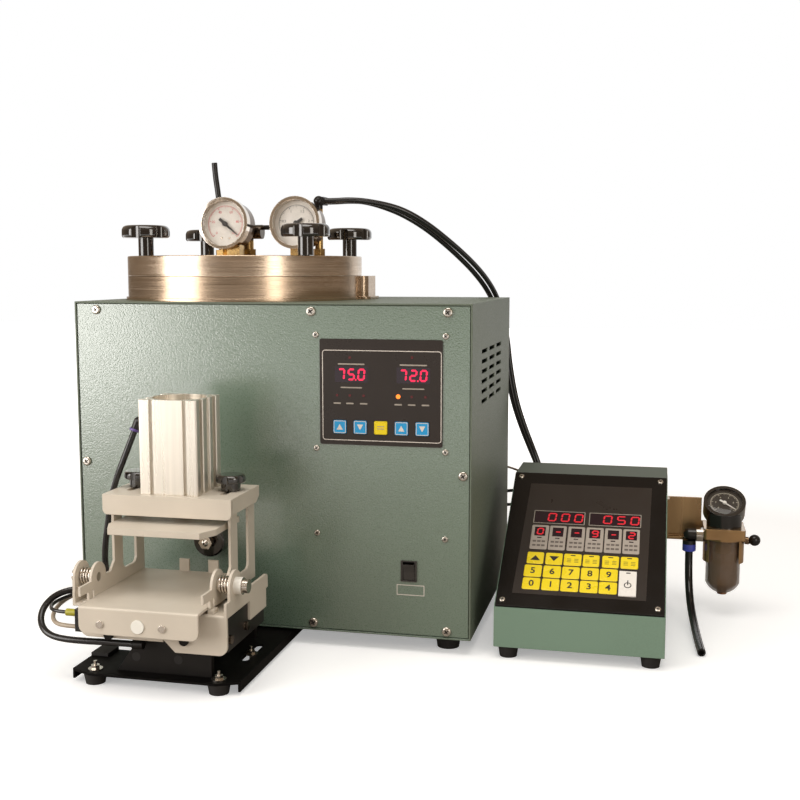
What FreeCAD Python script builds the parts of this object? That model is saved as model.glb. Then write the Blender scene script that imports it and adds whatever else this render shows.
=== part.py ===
import FreeCAD, Part
import math
import os

# Jewellery wax injector with an automatic mould clamp, a clamp controller and
# an air filter-regulator. Millimetres. The layout frame has x = 0 at the
# cabinet's left side, y = 0 on its front panel, +y to the back and z = 0 on
# the bench. Every node is moved at the end so that the origin is the bottom
# centre of the whole.

Vec = FreeCAD.Vector
X = Vec(1, 0, 0)
Y = Vec(0, 1, 0)
Z = Vec(0, 0, 1)

# ---- fits
FACE_GAP = 0.3          # between faces that move past each other
RUN_GAP = 0.08          # radial clearance of a turning or sliding fit
SCREW_GAP = 0.1         # radial clearance round a screw

# ---- cabinet
CAB_W = 400.0
CAB_D = 260.0
CAB_FOOT_H = 15.0
CAB_FOOT_R = 13.0
CAB_FOOT_INSET_X = 26.0
CAB_FOOT_INSET_Y = 26.0
CASE_H = 318.5
SHEET = 1.5
RIM = 1.0               # the shell's edge stands this far in front of the panel
PANEL_T = 2.0
PANEL_GAP = 0.8
FLANGE_W = 16.0
CASE_Z0 = CAB_FOOT_H
CASE_Z1 = CAB_FOOT_H + CASE_H
VENT_L = 36.0
VENT_H = 4.0
VENT_COLUMNS = (75.0, 125.0, 175.0)
VENT_ROWS = 6
VENT_PITCH = 9.85
VENT_TOP_DROP = 48.0
BIG_HEAD_R = 4.6
BIG_HEAD_H = 2.6
BIG_SHANK_R = 2.0
SMALL_HEAD_R = 3.0
SMALL_HEAD_H = 1.6
SMALL_SHANK_R = 1.5
HEAD_ROUND = 0.7        # share of a screw head's height that is rounded over
SCREW_LENGTH = 8.0
SCREW_EDGE = 8.0        # height of the edge screws inside the flanges
CORNER_SCREW_X = 23.0
MIDDLE_SCREW_INSET = 155.0   # from the cabinet's right side
MIDDLE_SCREW_X = CAB_W - MIDDLE_SCREW_INSET
SIDE_SCREW_Z = 173.0

# ---- control panel on the cabinet's front
OVERLAY_W = 118.8
OVERLAY_INSET = 27.7    # from the cabinet's right side
OVERLAY_X0 = CAB_W - OVERLAY_INSET - OVERLAY_W
OVERLAY_Z0 = 199.3
OVERLAY_H = 100.7
OVERLAY_T = 1.2
KEY_SIZE = 12.6
KEY_PITCH = 20.0
KEY_FIRST_X = 19.7      # first key's centre from the overlay's left edge
KEY_Z = 17.1            # keys' centre above the overlay's lower edge
KEY_COUNT = 5
KEY_PROUD = 0.9
KEY_TRAVEL = 0.8
KEY_RETAINER = 1.2      # how far the key's rear flange reaches past its hole
KEY_RETAINER_T = 1.0
SWITCH_SIZE = 7.0
DISPLAY_W = 29.5
DISPLAY_H = 12.5
DISPLAY_Z = 67.0
DISPLAY_XS = (31.0, 91.0)
BOARD_T = 1.6
BOARD_Y = 12.0
BOARD_MARGIN = 7.0
BOARD_SCREW_INSETS = (150.5, 25.0)   # from the cabinet's right side
BOARD_SCREW_XS = tuple(CAB_W - inset for inset in BOARD_SCREW_INSETS)
BOARD_SCREW_ZS = (303.5, 195.0, 112.0)
STANDOFF_R = 3.5

# ---- rocker switch
ROCKER_INSET = 59.7     # from the cabinet's right side
ROCKER_X = CAB_W - ROCKER_INSET
ROCKER_Z = 79.4
ROCKER_BEZEL_W = 15.6
ROCKER_BEZEL_H = 20.4
ROCKER_BEZEL_T = 1.5
ROCKER_BODY_W = 13.2
ROCKER_BODY_H = 18.8
ROCKER_BODY_D = 20.0
ROCKER_WALL = 0.9
ROCKER_PIVOT_Y = 5.0
ROCKER_TILT = 8.0
ROCKER_FACE = 6.0
ROCKER_HALF = 7.7
ROCKER_PIN_R = 1.2

# ---- mains inlet on the rear
INLET_X = 60.0
INLET_Z = 60.0
INLET_W = 28.0
INLET_H = 21.0
INLET_FLANGE = 10.0
INLET_DEPTH = 22.0
INLET_FLANGE_T = 3.0
INLET_WALL = 2.0
INLET_PIN = 2.0

# ---- wax pot and lid
POT_X = 132.5
POT_Y = 129.0
POT_R = 100.0
POT_WALL = 4.0
POT_FLOOR_T = 6.0
POT_FLOOR_Z = 186.0
POT_STEP_H = 3.0
POT_STEP_GROW = 3.0
POT_FLANGE_R = 124.0
POT_FLANGE_T = 21.7
POT_HOLE_GAP = 5.0
LUG_REACH = 133.0       # the flange's lug reaches this far right of the axis
LUG_Y0 = 4.0            # the lug's two ends along y, from the axis
LUG_Y1 = 46.0
LUG_ROUND = 7.0
LID_R = 124.0
LID_T = 20.2
LID_GAP = 0.3
GASKET_R0 = 98.5
GASKET_W = 4.0
GASKET_DEPTH = 3.0
BAND_T = 2.5
BAND_H = 90.0
BAND_Z0 = 200.0
LID_LIFT = 60.0
KNOB_PLACES = ((-84.0, -67.0), (90.0, -73.0), (-76.0, 77.0), (98.5, 61.0))
KNOB_NAMES = ("front_left", "front_right", "back_left", "back_right")
KNOB_STEM_R = 7.8
KNOB_STEM_H = 18.3
KNOB_HEAD_R = 24.5
KNOB_HEAD_H = 13.0
KNOB_LOBES = 6
KNOB_SCALLOP_R = 8.0
KNOB_SCALLOP_OUT = 5.5
STUD_R = 3.9
STUD_HOLE_DEPTH = 14.0
STUD_REACH = 12.0

# ---- gauges on the lid
GAUGE_Y = 95.0
GAUGE_XS = (120.4, 198.5)
GAUGE_Z = 413.0
GAUGE_TILT = 5.0
GAUGE_R = 25.4
GAUGE_BEZEL_R = 27.0
GAUGE_BEZEL_L = 8.0
GAUGE_DEPTH = 27.0
GAUGE_BORE_R = 23.6
GAUGE_DIAL_DEPTH = 6.5
GAUGE_LENS_R = 24.2
GAUGE_LENS_T = 1.2
GAUGE_LENS_IN = 1.0
GAUGE_STEM_W = 14.0
GAUGE_STEM_BACK = 15.0
GAUGE_STEM_SIDES = (7.6, -0.5)  # each post stands this far right of its dial
NEEDLE_HUB_R = 2.6
NEEDLE_HUB_T = 2.6
NEEDLE_SPINDLE_R = 0.9
NEEDLE_REACH = 18.5
NEEDLE_TAIL = 8.0
NEEDLE_T = 0.8
NEEDLE_W = 1.4
NEEDLE_TAIL_W = 3.0
NEEDLE_LIFT = 0.6
NEEDLE_ANGLES = (-40.0, 214.0)   # rest direction of each tip, from +x

# ---- fittings on the lid
FITTING_HEX = 14.0
FITTING_HEX_H = 8.0
VALVE_X = 134.0
VALVE_Y = 133.0
VALVE_Z = 405.0
VALVE_R = 7.5
VALVE_X0 = 118.0
VALVE_X1 = 150.0
VALVE_NECK_R = 5.5
VALVE_NECK_TOP = 399.0
RISER_X = 214.5
RISER_Y = 128.5
RISER_R = 4.2
ELBOW_R = 5.6
ELBOW_Z = 436.3
MANIFOLD_H = 8.6
MANIFOLD_L = 6.5
MANIFOLD_Y1 = 139.5
LINK_TUBE_Z = 409.6
LINK_TUBE_R = 2.5
VENT_TUBE_R = 3.0
VENT_TUBE_BORE = 1.8
VENT_TUBE_TOP = (
    (104.0, 131.0, 386.0), (104.0, 131.0, 404.0), (103.0, 131.0, 425.0),
    (101.0, 131.0, 446.0), (98.5, 131.0, 463.0), (97.3, 131.0, 478.5))

# ---- nozzle
CLAMP_X = 144.0         # centre line of the nozzle and of the clamp
NOZZLE_Z = 102.0
HOUSING_R = 16.0
HOUSING_L = 17.5
HOUSING_END_T = 1.5
FEED_R = 9.0
FEED_GAP = 0.3
FEED_BLOCK_W = 32.0
FEED_BLOCK_H = 32.0
FEED_BLOCK_D = 58.0
FEED_PIPE_R = 8.0
FEED_PIPE_Y = 50.0
TIP_STEM_R = 4.0
TIP_TRAVEL = 3.0
TIP_STEM_IN = 4.0
TIP_HEX = 12.0
TIP_HEX_T = 5.0
TIP_CONE_L = 3.5
TIP_CONE_R0 = 3.4
TIP_CONE_R1 = 1.5
TIP_BORE_R = 1.0

# ---- clamp base
BASE_T = 2.0
BASE_Z = 10.0
BASE_HALF_W = 79.0
BASE_FRONT_Y = -152.0
BASE_SIDE_Y = -143.0
BASE_FRONT_HALF_W = 59.0
BASE_REAR_Y = 60.0
BASE_ARM_REAR_Y = -88.0  # the left side is a short arm; hoses drop behind it
BASE_ARM_HALF_W = 44.0
BASE_FLANGE_H = 7.0
BASE_FOOT_R = 10.5
BASE_FOOT_X = 58.5
BASE_FOOT_FRONT_Y = -140.0
BASE_FOOT_REAR_Y = 40.0
BASE_REAR_FOOT_X = 32.0
BASE_SLOT_L = 46.0
BASE_SLOT_W = 7.0
BASE_SLOT_X = 62.5
BASE_SLOT_Y = -68.0
SLOT_BOLT_Y = -72.0
WASHER_R = 6.5
WASHER_T = 0.8
NUT_AF = 7.0
NUT_H = 3.0
FOOT_STUD_H = 7.5
BASE_PAD_W = 17.0
BASE_PAD_L = 21.0
BASE_PAD_T = 3.0
SPACER_R = 6.0
SPACER_X = 32.0
SPACER_Y = 22.0

# ---- carriage slide
MOUNT_LEFT_FOOT = 38.0
MOUNT_LEFT_TOP = 16.0
MOUNT_RIGHT_W = 51.0
MOUNT_T = 6.0
MOUNT_TOP_Z = 44.0
MOUNT_SHOULDER_Z = 37.0
MOUNT_FRONT_Y = -138.0
MOUNT_REAR_Y = -30.0
ROD_R = 4.0
ROD_X = 20.0
ROD_Z = 25.5
AIR_CYL_R = 9.0
AIR_CYL_BORE = 7.0
AIR_CYL_L = 46.0
AIR_ROD_R = 3.0
AIR_CAP_T = 5.0
AIR_PISTON_T = 4.0
CARRIAGE_TRAVEL = 24.0
BEARING_HALF_W = 29.0
BEARING_Y0 = -122.0
BEARING_L = 46.0
BEARING_Z0 = 15.0
BEARING_Z1 = 40.0
RISER_HALF_W = 28.0
CHEEK_Y0 = -101.0
CHEEK_L = 42.0
CHEEK_Z0 = 54.0
CHEEK_T = 3.0
LONG_CHEEK_Y0 = -150.0
LONG_CHEEK_Z0 = 40.0
CHEEK_BOLTS_Y = (-146.0, -107.0)
CHEEK_BOLT_Z = 50.5
BLOCK_TOP_T = 3.0

# ---- carriage bracket (outer sheet of the cradle's mount)
BRACKET_T = 2.5
BRACKET_HALF_W = 73.5
BRACKET_FLOOR_Z = 74.0
BRACKET_FRONT_Y = -157.0
BRACKET_FLOOR_REAR_Y = -112.0
BRACKET_WALL_REAR_Y = -54.0
BRACKET_WALL_TOP = 10.5
APRON_DROP = 26.5
APRON_LEFT = 62.5       # left of this the bracket stops short, behind its ear
APRON_ROUND = 8.0
NOTCH_Y = -149.0
LOBE_DROP = 35.0
LOBE_X0 = 26.0
LOBE_CHAMFER = 11.0
LOBE_ROUND = 8.0
BRACKET_FRONT_ROUND = 6.0
EAR_R = 13.5
PIVOT_Y = -135.0
PIVOT_Z = 95.0
PIVOT_R = 4.0
BOLT_HEAD_R = 6.0
BOLT_HEAD_H = 5.0
BUSH_R = 7.5
BUSH_L = 7.0
APRON_BOLT_X = 35.0
APRON_BOLT_Z = 50.5
APRON_BOLT_R = 4.2
APRON_BOLT_H = 3.0
SENSOR_W = 16.0
SENSOR_D = 9.0
SENSOR_H = 20.0
SENSOR_Z0 = 50.0
GLAND_R = 3.2
PAD_H = 3.8
PAD_W = 6.0
PAD_Y0 = -154.0
PAD_L = 9.0

# ---- cradle (mould tray with its side frames)
FRAME_T = 2.5
FRAME_OUT = 57.5
TRAY_TOP_Z = 79.5
TRAY_T = 2.0
TRAY_FRONT_Y = -174.0
TRAY_REAR_Y = -46.0
TRAY_BEND = 1.8
LIP_H = 23.5
LIP_ROUND = 7.0
TAB_W = 10.0
TAB_H = 12.0
TAB_OFFSET = 14.6
TAB_SHIFT = 2.4         # the two tabs sit off centre by this
FRAME_Y0 = -104.0
FRAME_Y1 = -44.0
FRAME_TOP_Z = 162.4
FRAME_BAR_W = 16.0
FRAME_SILL_Z = 90.0
FRAME_HEAD_H = 8.0
FRAME_FLANGE_T = 2.0
FRAME_FLANGE_IN = 36.0
NOSE_Y = -168.0
NOSE_Z0 = 86.0
NOSE_Z1 = 94.0
EAR_CRADLE_R = 13.2
LIP_BLOCK_X0 = -44.0
LIP_BLOCK_X1 = 32.0
LIP_BLOCK_D = 8.0
LIP_BLOCK_Z0 = 60.0
LIP_BLOCK_H = 12.0
LIP_SCREW_X = (-34.8, 22.2)
LIP_SCREW_Z = 65.0
LIP_SCREW_R = 3.2
LIP_SCREW_T = 1.4
LIP_DISC_R = 6.0
LIP_DISC_T = 0.8

# ---- springs
SPRING_R = 7.0
SPRING_WIRE_R = 0.9
SPRING_TURNS = 4
SPRING_SLEEVE_R = 5.9

# ---- top plate, clamp cylinder and press plate
PLATE_T = 2.0
PLATE_GAP = 0.1
PLATE_HALF_W = 61.5
PLATE_Y0 = -112.5
PLATE_Y1 = -41.0
PLATE_LIP_H = 18.5
PLATE_SIDE_LIP_H = 14.5
PLATE_ROUND = 5.0
SLOT_W = 6.6
SLOT_L = 40.0
SLOT_Y0 = -92.0
THUMB_X = 45.2
THUMB_Y = -70.5
THUMB_STUD_R = 2.9
THUMB_HUB_R = 9.0
THUMB_HUB_H = 7.3
THUMB_HEAD_R = 13.7
THUMB_HEAD_H = 7.6
THUMB_SCALLOP_R = 4.0
THUMB_SCALLOP_OUT = 2.4
THUMB_LOBES = 6
BARREL_W = 55.5
BARREL_H = 85.5
BARREL_Y = -77.7
BARREL_BORE = 24.5
BARREL_FLOOR_T = 10.0
BARREL_CAP_T = 8.0
BARREL_CAP_IN = 6.0
BARREL_PORT_Z = 63.5
GROOVE_W = 3.4
GROOVE_D = 3.0
GROOVE_OFFSETS = (-16.0, 16.0)
FLUTES = ((-20.0, -13.0, 4.5), (-3.5, 2.5, 1.8), (10.0, 18.0, 4.5))   # from, to, depth
RIB_ROUND = 1.3
PISTON_T = 10.0
PISTON_TOP = 66.0
PISTON_ROD_R = 8.0
PRESS_T = 5.5
PRESS_TOP_Z = 140.0
PRESS_FRONT_Y = -140.0
PRESS_REAR_Y = -66.0
PRESS_FRONT_HALF = 43.0
PRESS_HALF = 51.0
PRESS_TAPER = 18.0
PRESS_TRAVEL = 40.0
HOSE_R = 2.9
UNION_R = 5.0
UNION_L = 8.0

# ---- valve block behind the front panel
VALVE_BLOCK_X = 34.0
VALVE_BLOCK_W = 46.0
VALVE_BLOCK_D = 36.0
VALVE_BLOCK_Z0 = 28.0
VALVE_BLOCK_H = 32.0
VALVE_COIL_H = 34.0
VALVE_COIL_W = 12.0
PORT_XS = (42.0, 56.0, 70.0)
PORT_Z = 44.0
PORT_R = 5.0
PORT_REACH = 12.0

# ---- unions in the rear faces, one at each hose end there
REAR_UNION_R = 4.2
WIRE_GROMMET_R = 3.0
REAR_UNION_OUT = 6.0
REAR_UNION_IN = 6.0

# ---- controller
CTRL_X = 422.1
CTRL_Y = -1.7
CTRL_W = 157.4
CTRL_D = 227.0
CTRL_FOOT_H = 12.0
CTRL_FOOT_R = 10.0
CTRL_FOOT_INSET_X = 12.5
CTRL_FOOT_INSET_Y = 13.5
CTRL_FRONT_H = 38.1
CTRL_REAR_H = 138.1
CTRL_SLOPE_D = 158.0
CTRL_SHEET = 1.5
FACE_T = 2.0
FACE_MARGIN = 1.0
FACE_SCREW_X = 7.2
FACE_SCREW_S = 8.0
START_X = 122.0
START_S = 36.7
START_W = 16.2
START_H = 31.2
START_PROUD = 1.0
START_TRAVEL = 0.8
CTRL_BOARD_DROP = 14.0
CTRL_BOARD_MARGIN = 14.0
CTRL_POST_R = 3.0

# ---- filter-regulator
REG_X = 639.0
REG_Y = 190.0
REG_W = 42.0
REG_BODY_Z0 = 85.0
REG_BODY_Z1 = 96.0
REG_BODY_D = 42.0
REG_GUARD_R = 20.9
REG_GUARD_WALL = 2.0
REG_GUARD_Z0 = 59.0
REG_GUARD_WINDOW = 30.0
REG_BOWL_R = 17.5
REG_BOWL_WALL = 2.5
REG_BOWL_Z0 = 24.0
REG_DRAIN_R = 5.0
REG_DOME_H = 12.0
REG_DRAIN_H = 1.0
REG_DRAIN_IN = 14.0
REG_ELEMENT_R = 8.0
REG_ELEMENT_L = 17.0
REG_STEM_R = 1.5
REG_STEM_L = 12.0
REG_BAFFLE_R = 10.0
REG_BAFFLE_T = 1.5
REG_GAUGE_R = 21.5
REG_GAUGE_T = 18.0
REG_GAUGE_TILT = 53.0
REG_GAUGE_Z = 122.7
REG_DIAL_R = 18.0
REG_DIAL_DEPTH = 4.0
REG_PLATE_T = 3.0
REG_PLATE_Z0 = 79.0
REG_PLATE_Z1 = 121.0
REG_TONGUE_Z1 = 96.0
REG_PLATE_X1 = 616.5
REG_PLATE_OVERLAP = 16.0
REG_ELBOW_X = 604.0
REG_ELBOW_Z = 85.5
REG_ELBOW_R = 6.5
REG_RING_R = 7.0
REG_NUT_R = 8.0
REG_NUT_L = 7.0
LEVER_R = 2.0
LEVER_Z = 81.5
LEVER_BALL_X = 31.4
LEVER_BALL_RISE = 0.7
LEVER_SPINDLE_L = 3.2
LEVER_COLLAR_L = 4.0
LEVER_COLLAR_T = 2.0
LEVER_ARM_R = 1.1
LEVER_BALL_R = 6.0
SUPPLY_R = 4.0

# ---- hose and cord routes, points on the centre line, layout frame
LID_HOSE_R = 2.9
LID_HOSE_A = (
    (RISER_X + MANIFOLD_L, RISER_Y, 436.6), (233.0, 128.5, 436.6), (246.5, 133.0, 437.6),
    (264.0, 141.0, 436.6), (290.3, 152.0, 431.2), (308.0, 161.0, 423.3),
    (325.1, 173.0, 411.5), (338.7, 188.0, 399.2), (351.9, 207.0, 385.8),
    (365.0, 230.0, 370.1), (376.5, 252.5, 352.4), (385.0, 270.0, 332.7),
    (391.0, 279.0, 308.0), (395.5, 283.0, 284.0), (398.0, 283.5, 260.0),
    (402.0, 283.0, 235.0), (407.5, 281.5, 210.5), (416.0, 279.5, 185.5),
    (426.0, 275.0, 162.0), (434.5, 266.0, 144.5), (440.0, 252.5, 133.5),
    (441.5, 239.0, 131.0), (441.5, 231.3, 131.0))
LID_HOSE_B = (
    (RISER_X + MANIFOLD_L, 135.2, 435.8), (232.0, 135.2, 435.8), (244.5, 139.5, 436.9),
    (261.5, 147.8, 436.4), (287.0, 158.8, 428.0), (304.5, 167.8, 418.9),
    (321.0, 179.8, 407.3), (334.5, 195.0, 394.7), (347.5, 214.0, 380.7),
    (360.8, 237.0, 364.1), (372.0, 259.0, 346.0), (380.0, 276.5, 326.3),
    (385.5, 286.0, 304.0), (389.5, 290.5, 279.0), (392.5, 291.5, 254.0),
    (397.0, 291.0, 229.0), (403.5, 289.5, 204.5), (412.5, 287.5, 180.0),
    (423.5, 283.0, 156.0), (433.5, 273.5, 137.0), (440.0, 258.5, 124.5),
    (442.0, 241.5, 121.0), (442.0, 231.3, 121.0))
CLAMP_LOOP_R = 2.9
CLAMP_LOOP = (
    (56.0, -12.0, 44.0), (56.0, -26.5, 44.0), (58.0, -42.0, 47.5),
    (61.0, -57.0, 53.0), (64.5, -70.0, 59.5), (66.0, -82.0, 65.0),
    (64.5, -94.0, 70.5), (57.5, -105.0, 73.2), (45.5, -112.0, 73.4),
    (34.5, -118.0, 69.0), (28.5, -126.0, 61.0), (29.5, -134.5, 52.8),
    (36.5, -142.5, 46.0), (47.0, -147.3, 41.9), (61.0, -149.0, 40.3),
    (81.0, -148.5, 39.8), (104.0, -147.0, 40.0), (126.0, -147.0, 40.0))
CLAMP_SUPPLY = (
    (98.5, -76.0, 219.0), (94.2, -79.0, 205.5), (89.5, -81.5, 192.5),
    (83.4, -81.5, 178.5), (77.0, -79.5, 163.5), (71.9, -77.5, 148.0),
    (68.9, -76.0, 131.5), (65.0, -75.0, 113.0), (62.4, -73.0, 94.0),
    (62.0, -69.0, 76.5), (63.8, -59.5, 62.0), (67.0, -45.0, 50.5),
    (70.0, -27.5, 44.0), (70.0, -12.0, 44.0))
SENSOR_HOSE_R = 1.9
SENSOR_HOSE = (
    (75.0, -150.0, 53.0), (64.0, -150.0, 53.0), (52.8, -147.0, 53.2),
    (44.8, -139.5, 55.2), (40.2, -129.0, 58.0), (38.5, -116.5, 61.0),
    (40.3, -103.0, 63.5), (43.8, -89.0, 64.3), (46.8, -74.0, 62.0),
    (47.2, -58.0, 56.0), (45.0, -41.5, 48.7), (42.0, -26.0, 44.0),
    (42.0, -12.0, 44.0))
SENSOR_LEAD_R = 1.6
SENSOR_LEAD = (
    (65.0, -150.0, 65.5), (56.0, -150.0, 65.5), (47.3, -145.5, 65.7),
    (41.8, -136.0, 66.0), (40.8, -123.5, 66.4), (43.2, -110.5, 66.7),
    (47.5, -96.5, 66.9), (51.8, -80.5, 66.6), (55.0, -62.0, 65.4),
    (56.8, -41.0, 64.0), (58.0, -20.0, 63.0), (58.0, 0.0, 63.0))
LINK_HOSE_R = 1.9
LINK_WIRE_R = 1.2
LINK_HOSE_TOP = (
    (361.0, 266.0, 99.0), (361.0, 275.0, 99.0), (366.0, 285.0, 99.6),
    (377.5, 291.0, 100.8), (391.5, 293.2, 102.6), (406.0, 293.0, 104.4),
    (421.0, 290.0, 105.6), (434.5, 283.5, 106.2), (446.0, 272.0, 105.6),
    (452.0, 256.0, 104.4), (453.0, 241.5, 104.0), (453.0, 231.3, 104.0))
LINK_HOSE_LOW = (
    (375.0, 266.0, 86.0), (375.0, 275.0, 86.0), (380.5, 284.5, 86.3),
    (392.5, 289.5, 87.0), (406.5, 291.5, 87.8), (421.0, 291.0, 88.6),
    (436.0, 287.0, 89.2), (450.0, 279.0, 89.0), (460.5, 265.5, 88.4),
    (464.5, 250.5, 88.0), (465.0, 240.0, 88.0), (465.0, 231.3, 88.0))
LINK_WIRE = (
    (374.0, 266.0, 137.5), (374.0, 274.0, 137.5), (378.5, 281.5, 136.9),
    (388.0, 286.0, 135.2), (398.5, 287.0, 132.8), (409.5, 285.0, 129.8),
    (419.5, 279.5, 126.4), (426.5, 269.0, 124.0), (430.0, 255.5, 122.6),
    (430.5, 242.0, 122.0), (430.5, 231.3, 122.0))
SUPPLY_HOSE = (
    (604.0, 190.0, 70.0), (604.0, 190.0, 54.0), (604.4, 184.0, 36.5),
    (605.5, 169.0, 21.5), (607.5, 148.0, 11.5), (609.5, 123.5, 6.2),
    (611.0, 98.0, 4.3), (612.4, 72.5, 4.1), (613.9, 47.8, 4.05))

# ---- origin: the bottom centre of the whole, hoses aside
RIGHT_X = REG_X + LEVER_BALL_X + LEVER_BALL_R
FRONT_Y = TRAY_FRONT_Y - LIP_SCREW_T
BACK_Y = CAB_D + REAR_UNION_OUT
ORIGIN = Vec(RIGHT_X / 2, (FRONT_Y + BACK_Y) / 2, 0.0)


# ------------------------------------------------------------------ helpers
def box(x0, x1, y0, y1, z0, z1):
    return Part.makeBox(x1 - x0, y1 - y0, z1 - z0, Vec(x0, y0, z0))


def rod(start, end, radius):
    along = end - start
    return Part.makeCylinder(radius, along.Length, start, along)


def pipe(start, end, outer, inner):
    return rod(start, end, outer).cut(rod(start, end, inner))


def prism(points, direction):
    wire = Part.makePolygon(list(points) + [points[0]])
    return Part.Face(wire).extrude(direction)


def prism_x(points, x0, x1):
    return prism([Vec(x0, y, z) for y, z in points], X * (x1 - x0))


def prism_y(points, y0, y1):
    return prism([Vec(x, y0, z) for x, z in points], Y * (y1 - y0))


def prism_z(points, z0, z1):
    return prism([Vec(x, y, z0) for x, y in points], Z * (z1 - z0))


def hexagon(start, end, across_flats):
    along = end - start
    bar = prism([Vec(0, 0, 0) + turned(across_flats / math.sqrt(3), 60 * i) for i in range(6)],
                Z * along.Length)
    bar.Placement = FreeCAD.Placement(start, FreeCAD.Rotation(Z, along))
    return bar


def turned(radius, degrees):
    a = math.radians(degrees)
    return Vec(radius * math.cos(a), radius * math.sin(a), 0)


def rounded(shape, radius, keep):
    edges = [e for e in shape.Edges if keep(e)]
    return shape.makeFillet(radius, edges)


def along(edge, axis):
    """True for a straight edge along that axis."""
    if len(edge.Vertexes) != 2:
        return False
    d = edge.Vertexes[1].Point - edge.Vertexes[0].Point
    return d.Length > 0 and abs(abs(d.normalize().dot(axis)) - 1) < 1e-6


def near(value, target):
    return abs(value - target) < 1e-4


def one(solids):
    shape = solids[0].multiFuse(solids[1:]) if len(solids) > 1 else solids[0]
    return shape.removeSplitter()


def route_wire(points):
    """Straight runs joined by tangent arcs, each as large as its two runs allow."""
    pts = [Vec(*p) for p in points]
    edges = []
    radii = []
    here = pts[0]
    for before, corner, after in zip(pts, pts[1:], pts[2:]):
        run_in = corner - before
        run_out = after - corner
        cut = 0.45 * min(run_in.Length, run_out.Length)
        d_in = run_in.normalize()
        d_out = run_out.normalize()
        turn = d_in.getAngle(d_out)
        radii.append(cut / math.tan(turn / 2))
        arc_start = corner - d_in * cut
        arc_end = corner + d_out * cut
        bulge = corner - (d_in - d_out).normalize() * (radii[-1] / math.cos(turn / 2) - radii[-1])
        edges.append(Part.makeLine(here, arc_start))
        edges.append(Part.Arc(arc_start, bulge, arc_end).toShape())
        here = arc_end
    edges.append(Part.makeLine(here, pts[-1]))
    return Part.Wire(edges), radii


def tube(name, points, radius, bore=0.0):
    wire, radii = route_wire(points)
    first = Vec(*points[1]) - Vec(*points[0])
    ring = Part.Wire(Part.makeCircle(radius, Vec(*points[0]), first))
    solid = wire.makePipeShell([ring], True, False)
    if bore:
        inner = Part.Wire(Part.makeCircle(bore, Vec(*points[0]), first))
        solid = solid.cut(wire.makePipeShell([inner], True, False))
    expected = math.pi * (radius ** 2 - bore ** 2) * wire.Length
    print(name, "length", round(wire.Length, 1), "smallest radius", round(min(radii), 1),
          "volume ratio", round(solid.Volume / expected, 4))
    return solid


def soft_disc(start, end, radius, end_round):
    """A disc with the edge of its far face rounded over."""
    disc = rod(start, end, radius)
    return rounded(disc, end_round, lambda e: (e.CenterOfMass - end).Length < end_round / 10)


def screw(point, out, head_r, head_h, shank_r, length):
    """A screw whose head stands on the face at point; out points away from it."""
    head = soft_disc(point, point + out * head_h, head_r, head_h * HEAD_ROUND)
    return head.fuse(rod(point, point - out * length, shank_r))


def lobed_knob(centre, z0, z1, radius, lobes, scallop_r, scallop_out):
    """A star knob's head, rounded over above and a little below."""
    middle = z0 + (z1 - z0) * 0.4
    head = soft_disc(Vec(centre.x, centre.y, middle), Vec(centre.x, centre.y, z1), radius,
                     (z1 - middle) * 0.75)
    head = head.fuse(soft_disc(Vec(centre.x, centre.y, middle), Vec(centre.x, centre.y, z0), radius,
                               (middle - z0) * 0.6))
    for i in range(lobes):
        p = turned(radius + scallop_out, 360.0 / lobes * (i + 0.5))
        cutter = rod(Vec(centre.x + p.x, centre.y + p.y, z0 - 1),
                     Vec(centre.x + p.x, centre.y + p.y, z1 + 1), scallop_r)
        head = head.cut(cutter)
    return head


def save(name, solids):
    shape = Part.makeCompound([s for shape in solids for s in shape.Solids])
    shape.translate(ORIGIN * -1)
    shape.exportStep(os.path.join("parts", name + ".step"))


# ------------------------------------------------------------------ cabinet
INNER_X0 = SHEET
INNER_X1 = CAB_W - SHEET
FLANGE_Y = (PANEL_T, CAB_D - PANEL_T - SHEET)
PANEL_BOX = (INNER_X0 + PANEL_GAP, INNER_X1 - PANEL_GAP, CASE_Z0 + SHEET + PANEL_GAP,
             CASE_Z1 - SHEET - PANEL_GAP)
RIGHT_SCREW_X = CAB_W - CORNER_SCREW_X
SIDE_SCREW_X = SCREW_EDGE
LOW_Z = CASE_Z0 + SHEET + SCREW_EDGE - 2.0
HIGH_Z = CASE_Z1 - SCREW_EDGE
EDGE_SCREWS = ((CORNER_SCREW_X, HIGH_Z), (MIDDLE_SCREW_X, HIGH_Z), (RIGHT_SCREW_X, HIGH_Z),
               (SIDE_SCREW_X, SIDE_SCREW_Z), (CAB_W - SIDE_SCREW_X, SIDE_SCREW_Z),
               (CORNER_SCREW_X, LOW_Z), (MIDDLE_SCREW_X, LOW_Z), (RIGHT_SCREW_X, LOW_Z))


def cut_screw_holes(shape, places, shank_r, y0, y1):
    holes = [rod(Vec(x, y0, z), Vec(x, y1, z), shank_r + SCREW_GAP) for x, z in places]
    return shape.cut(holes)


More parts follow.
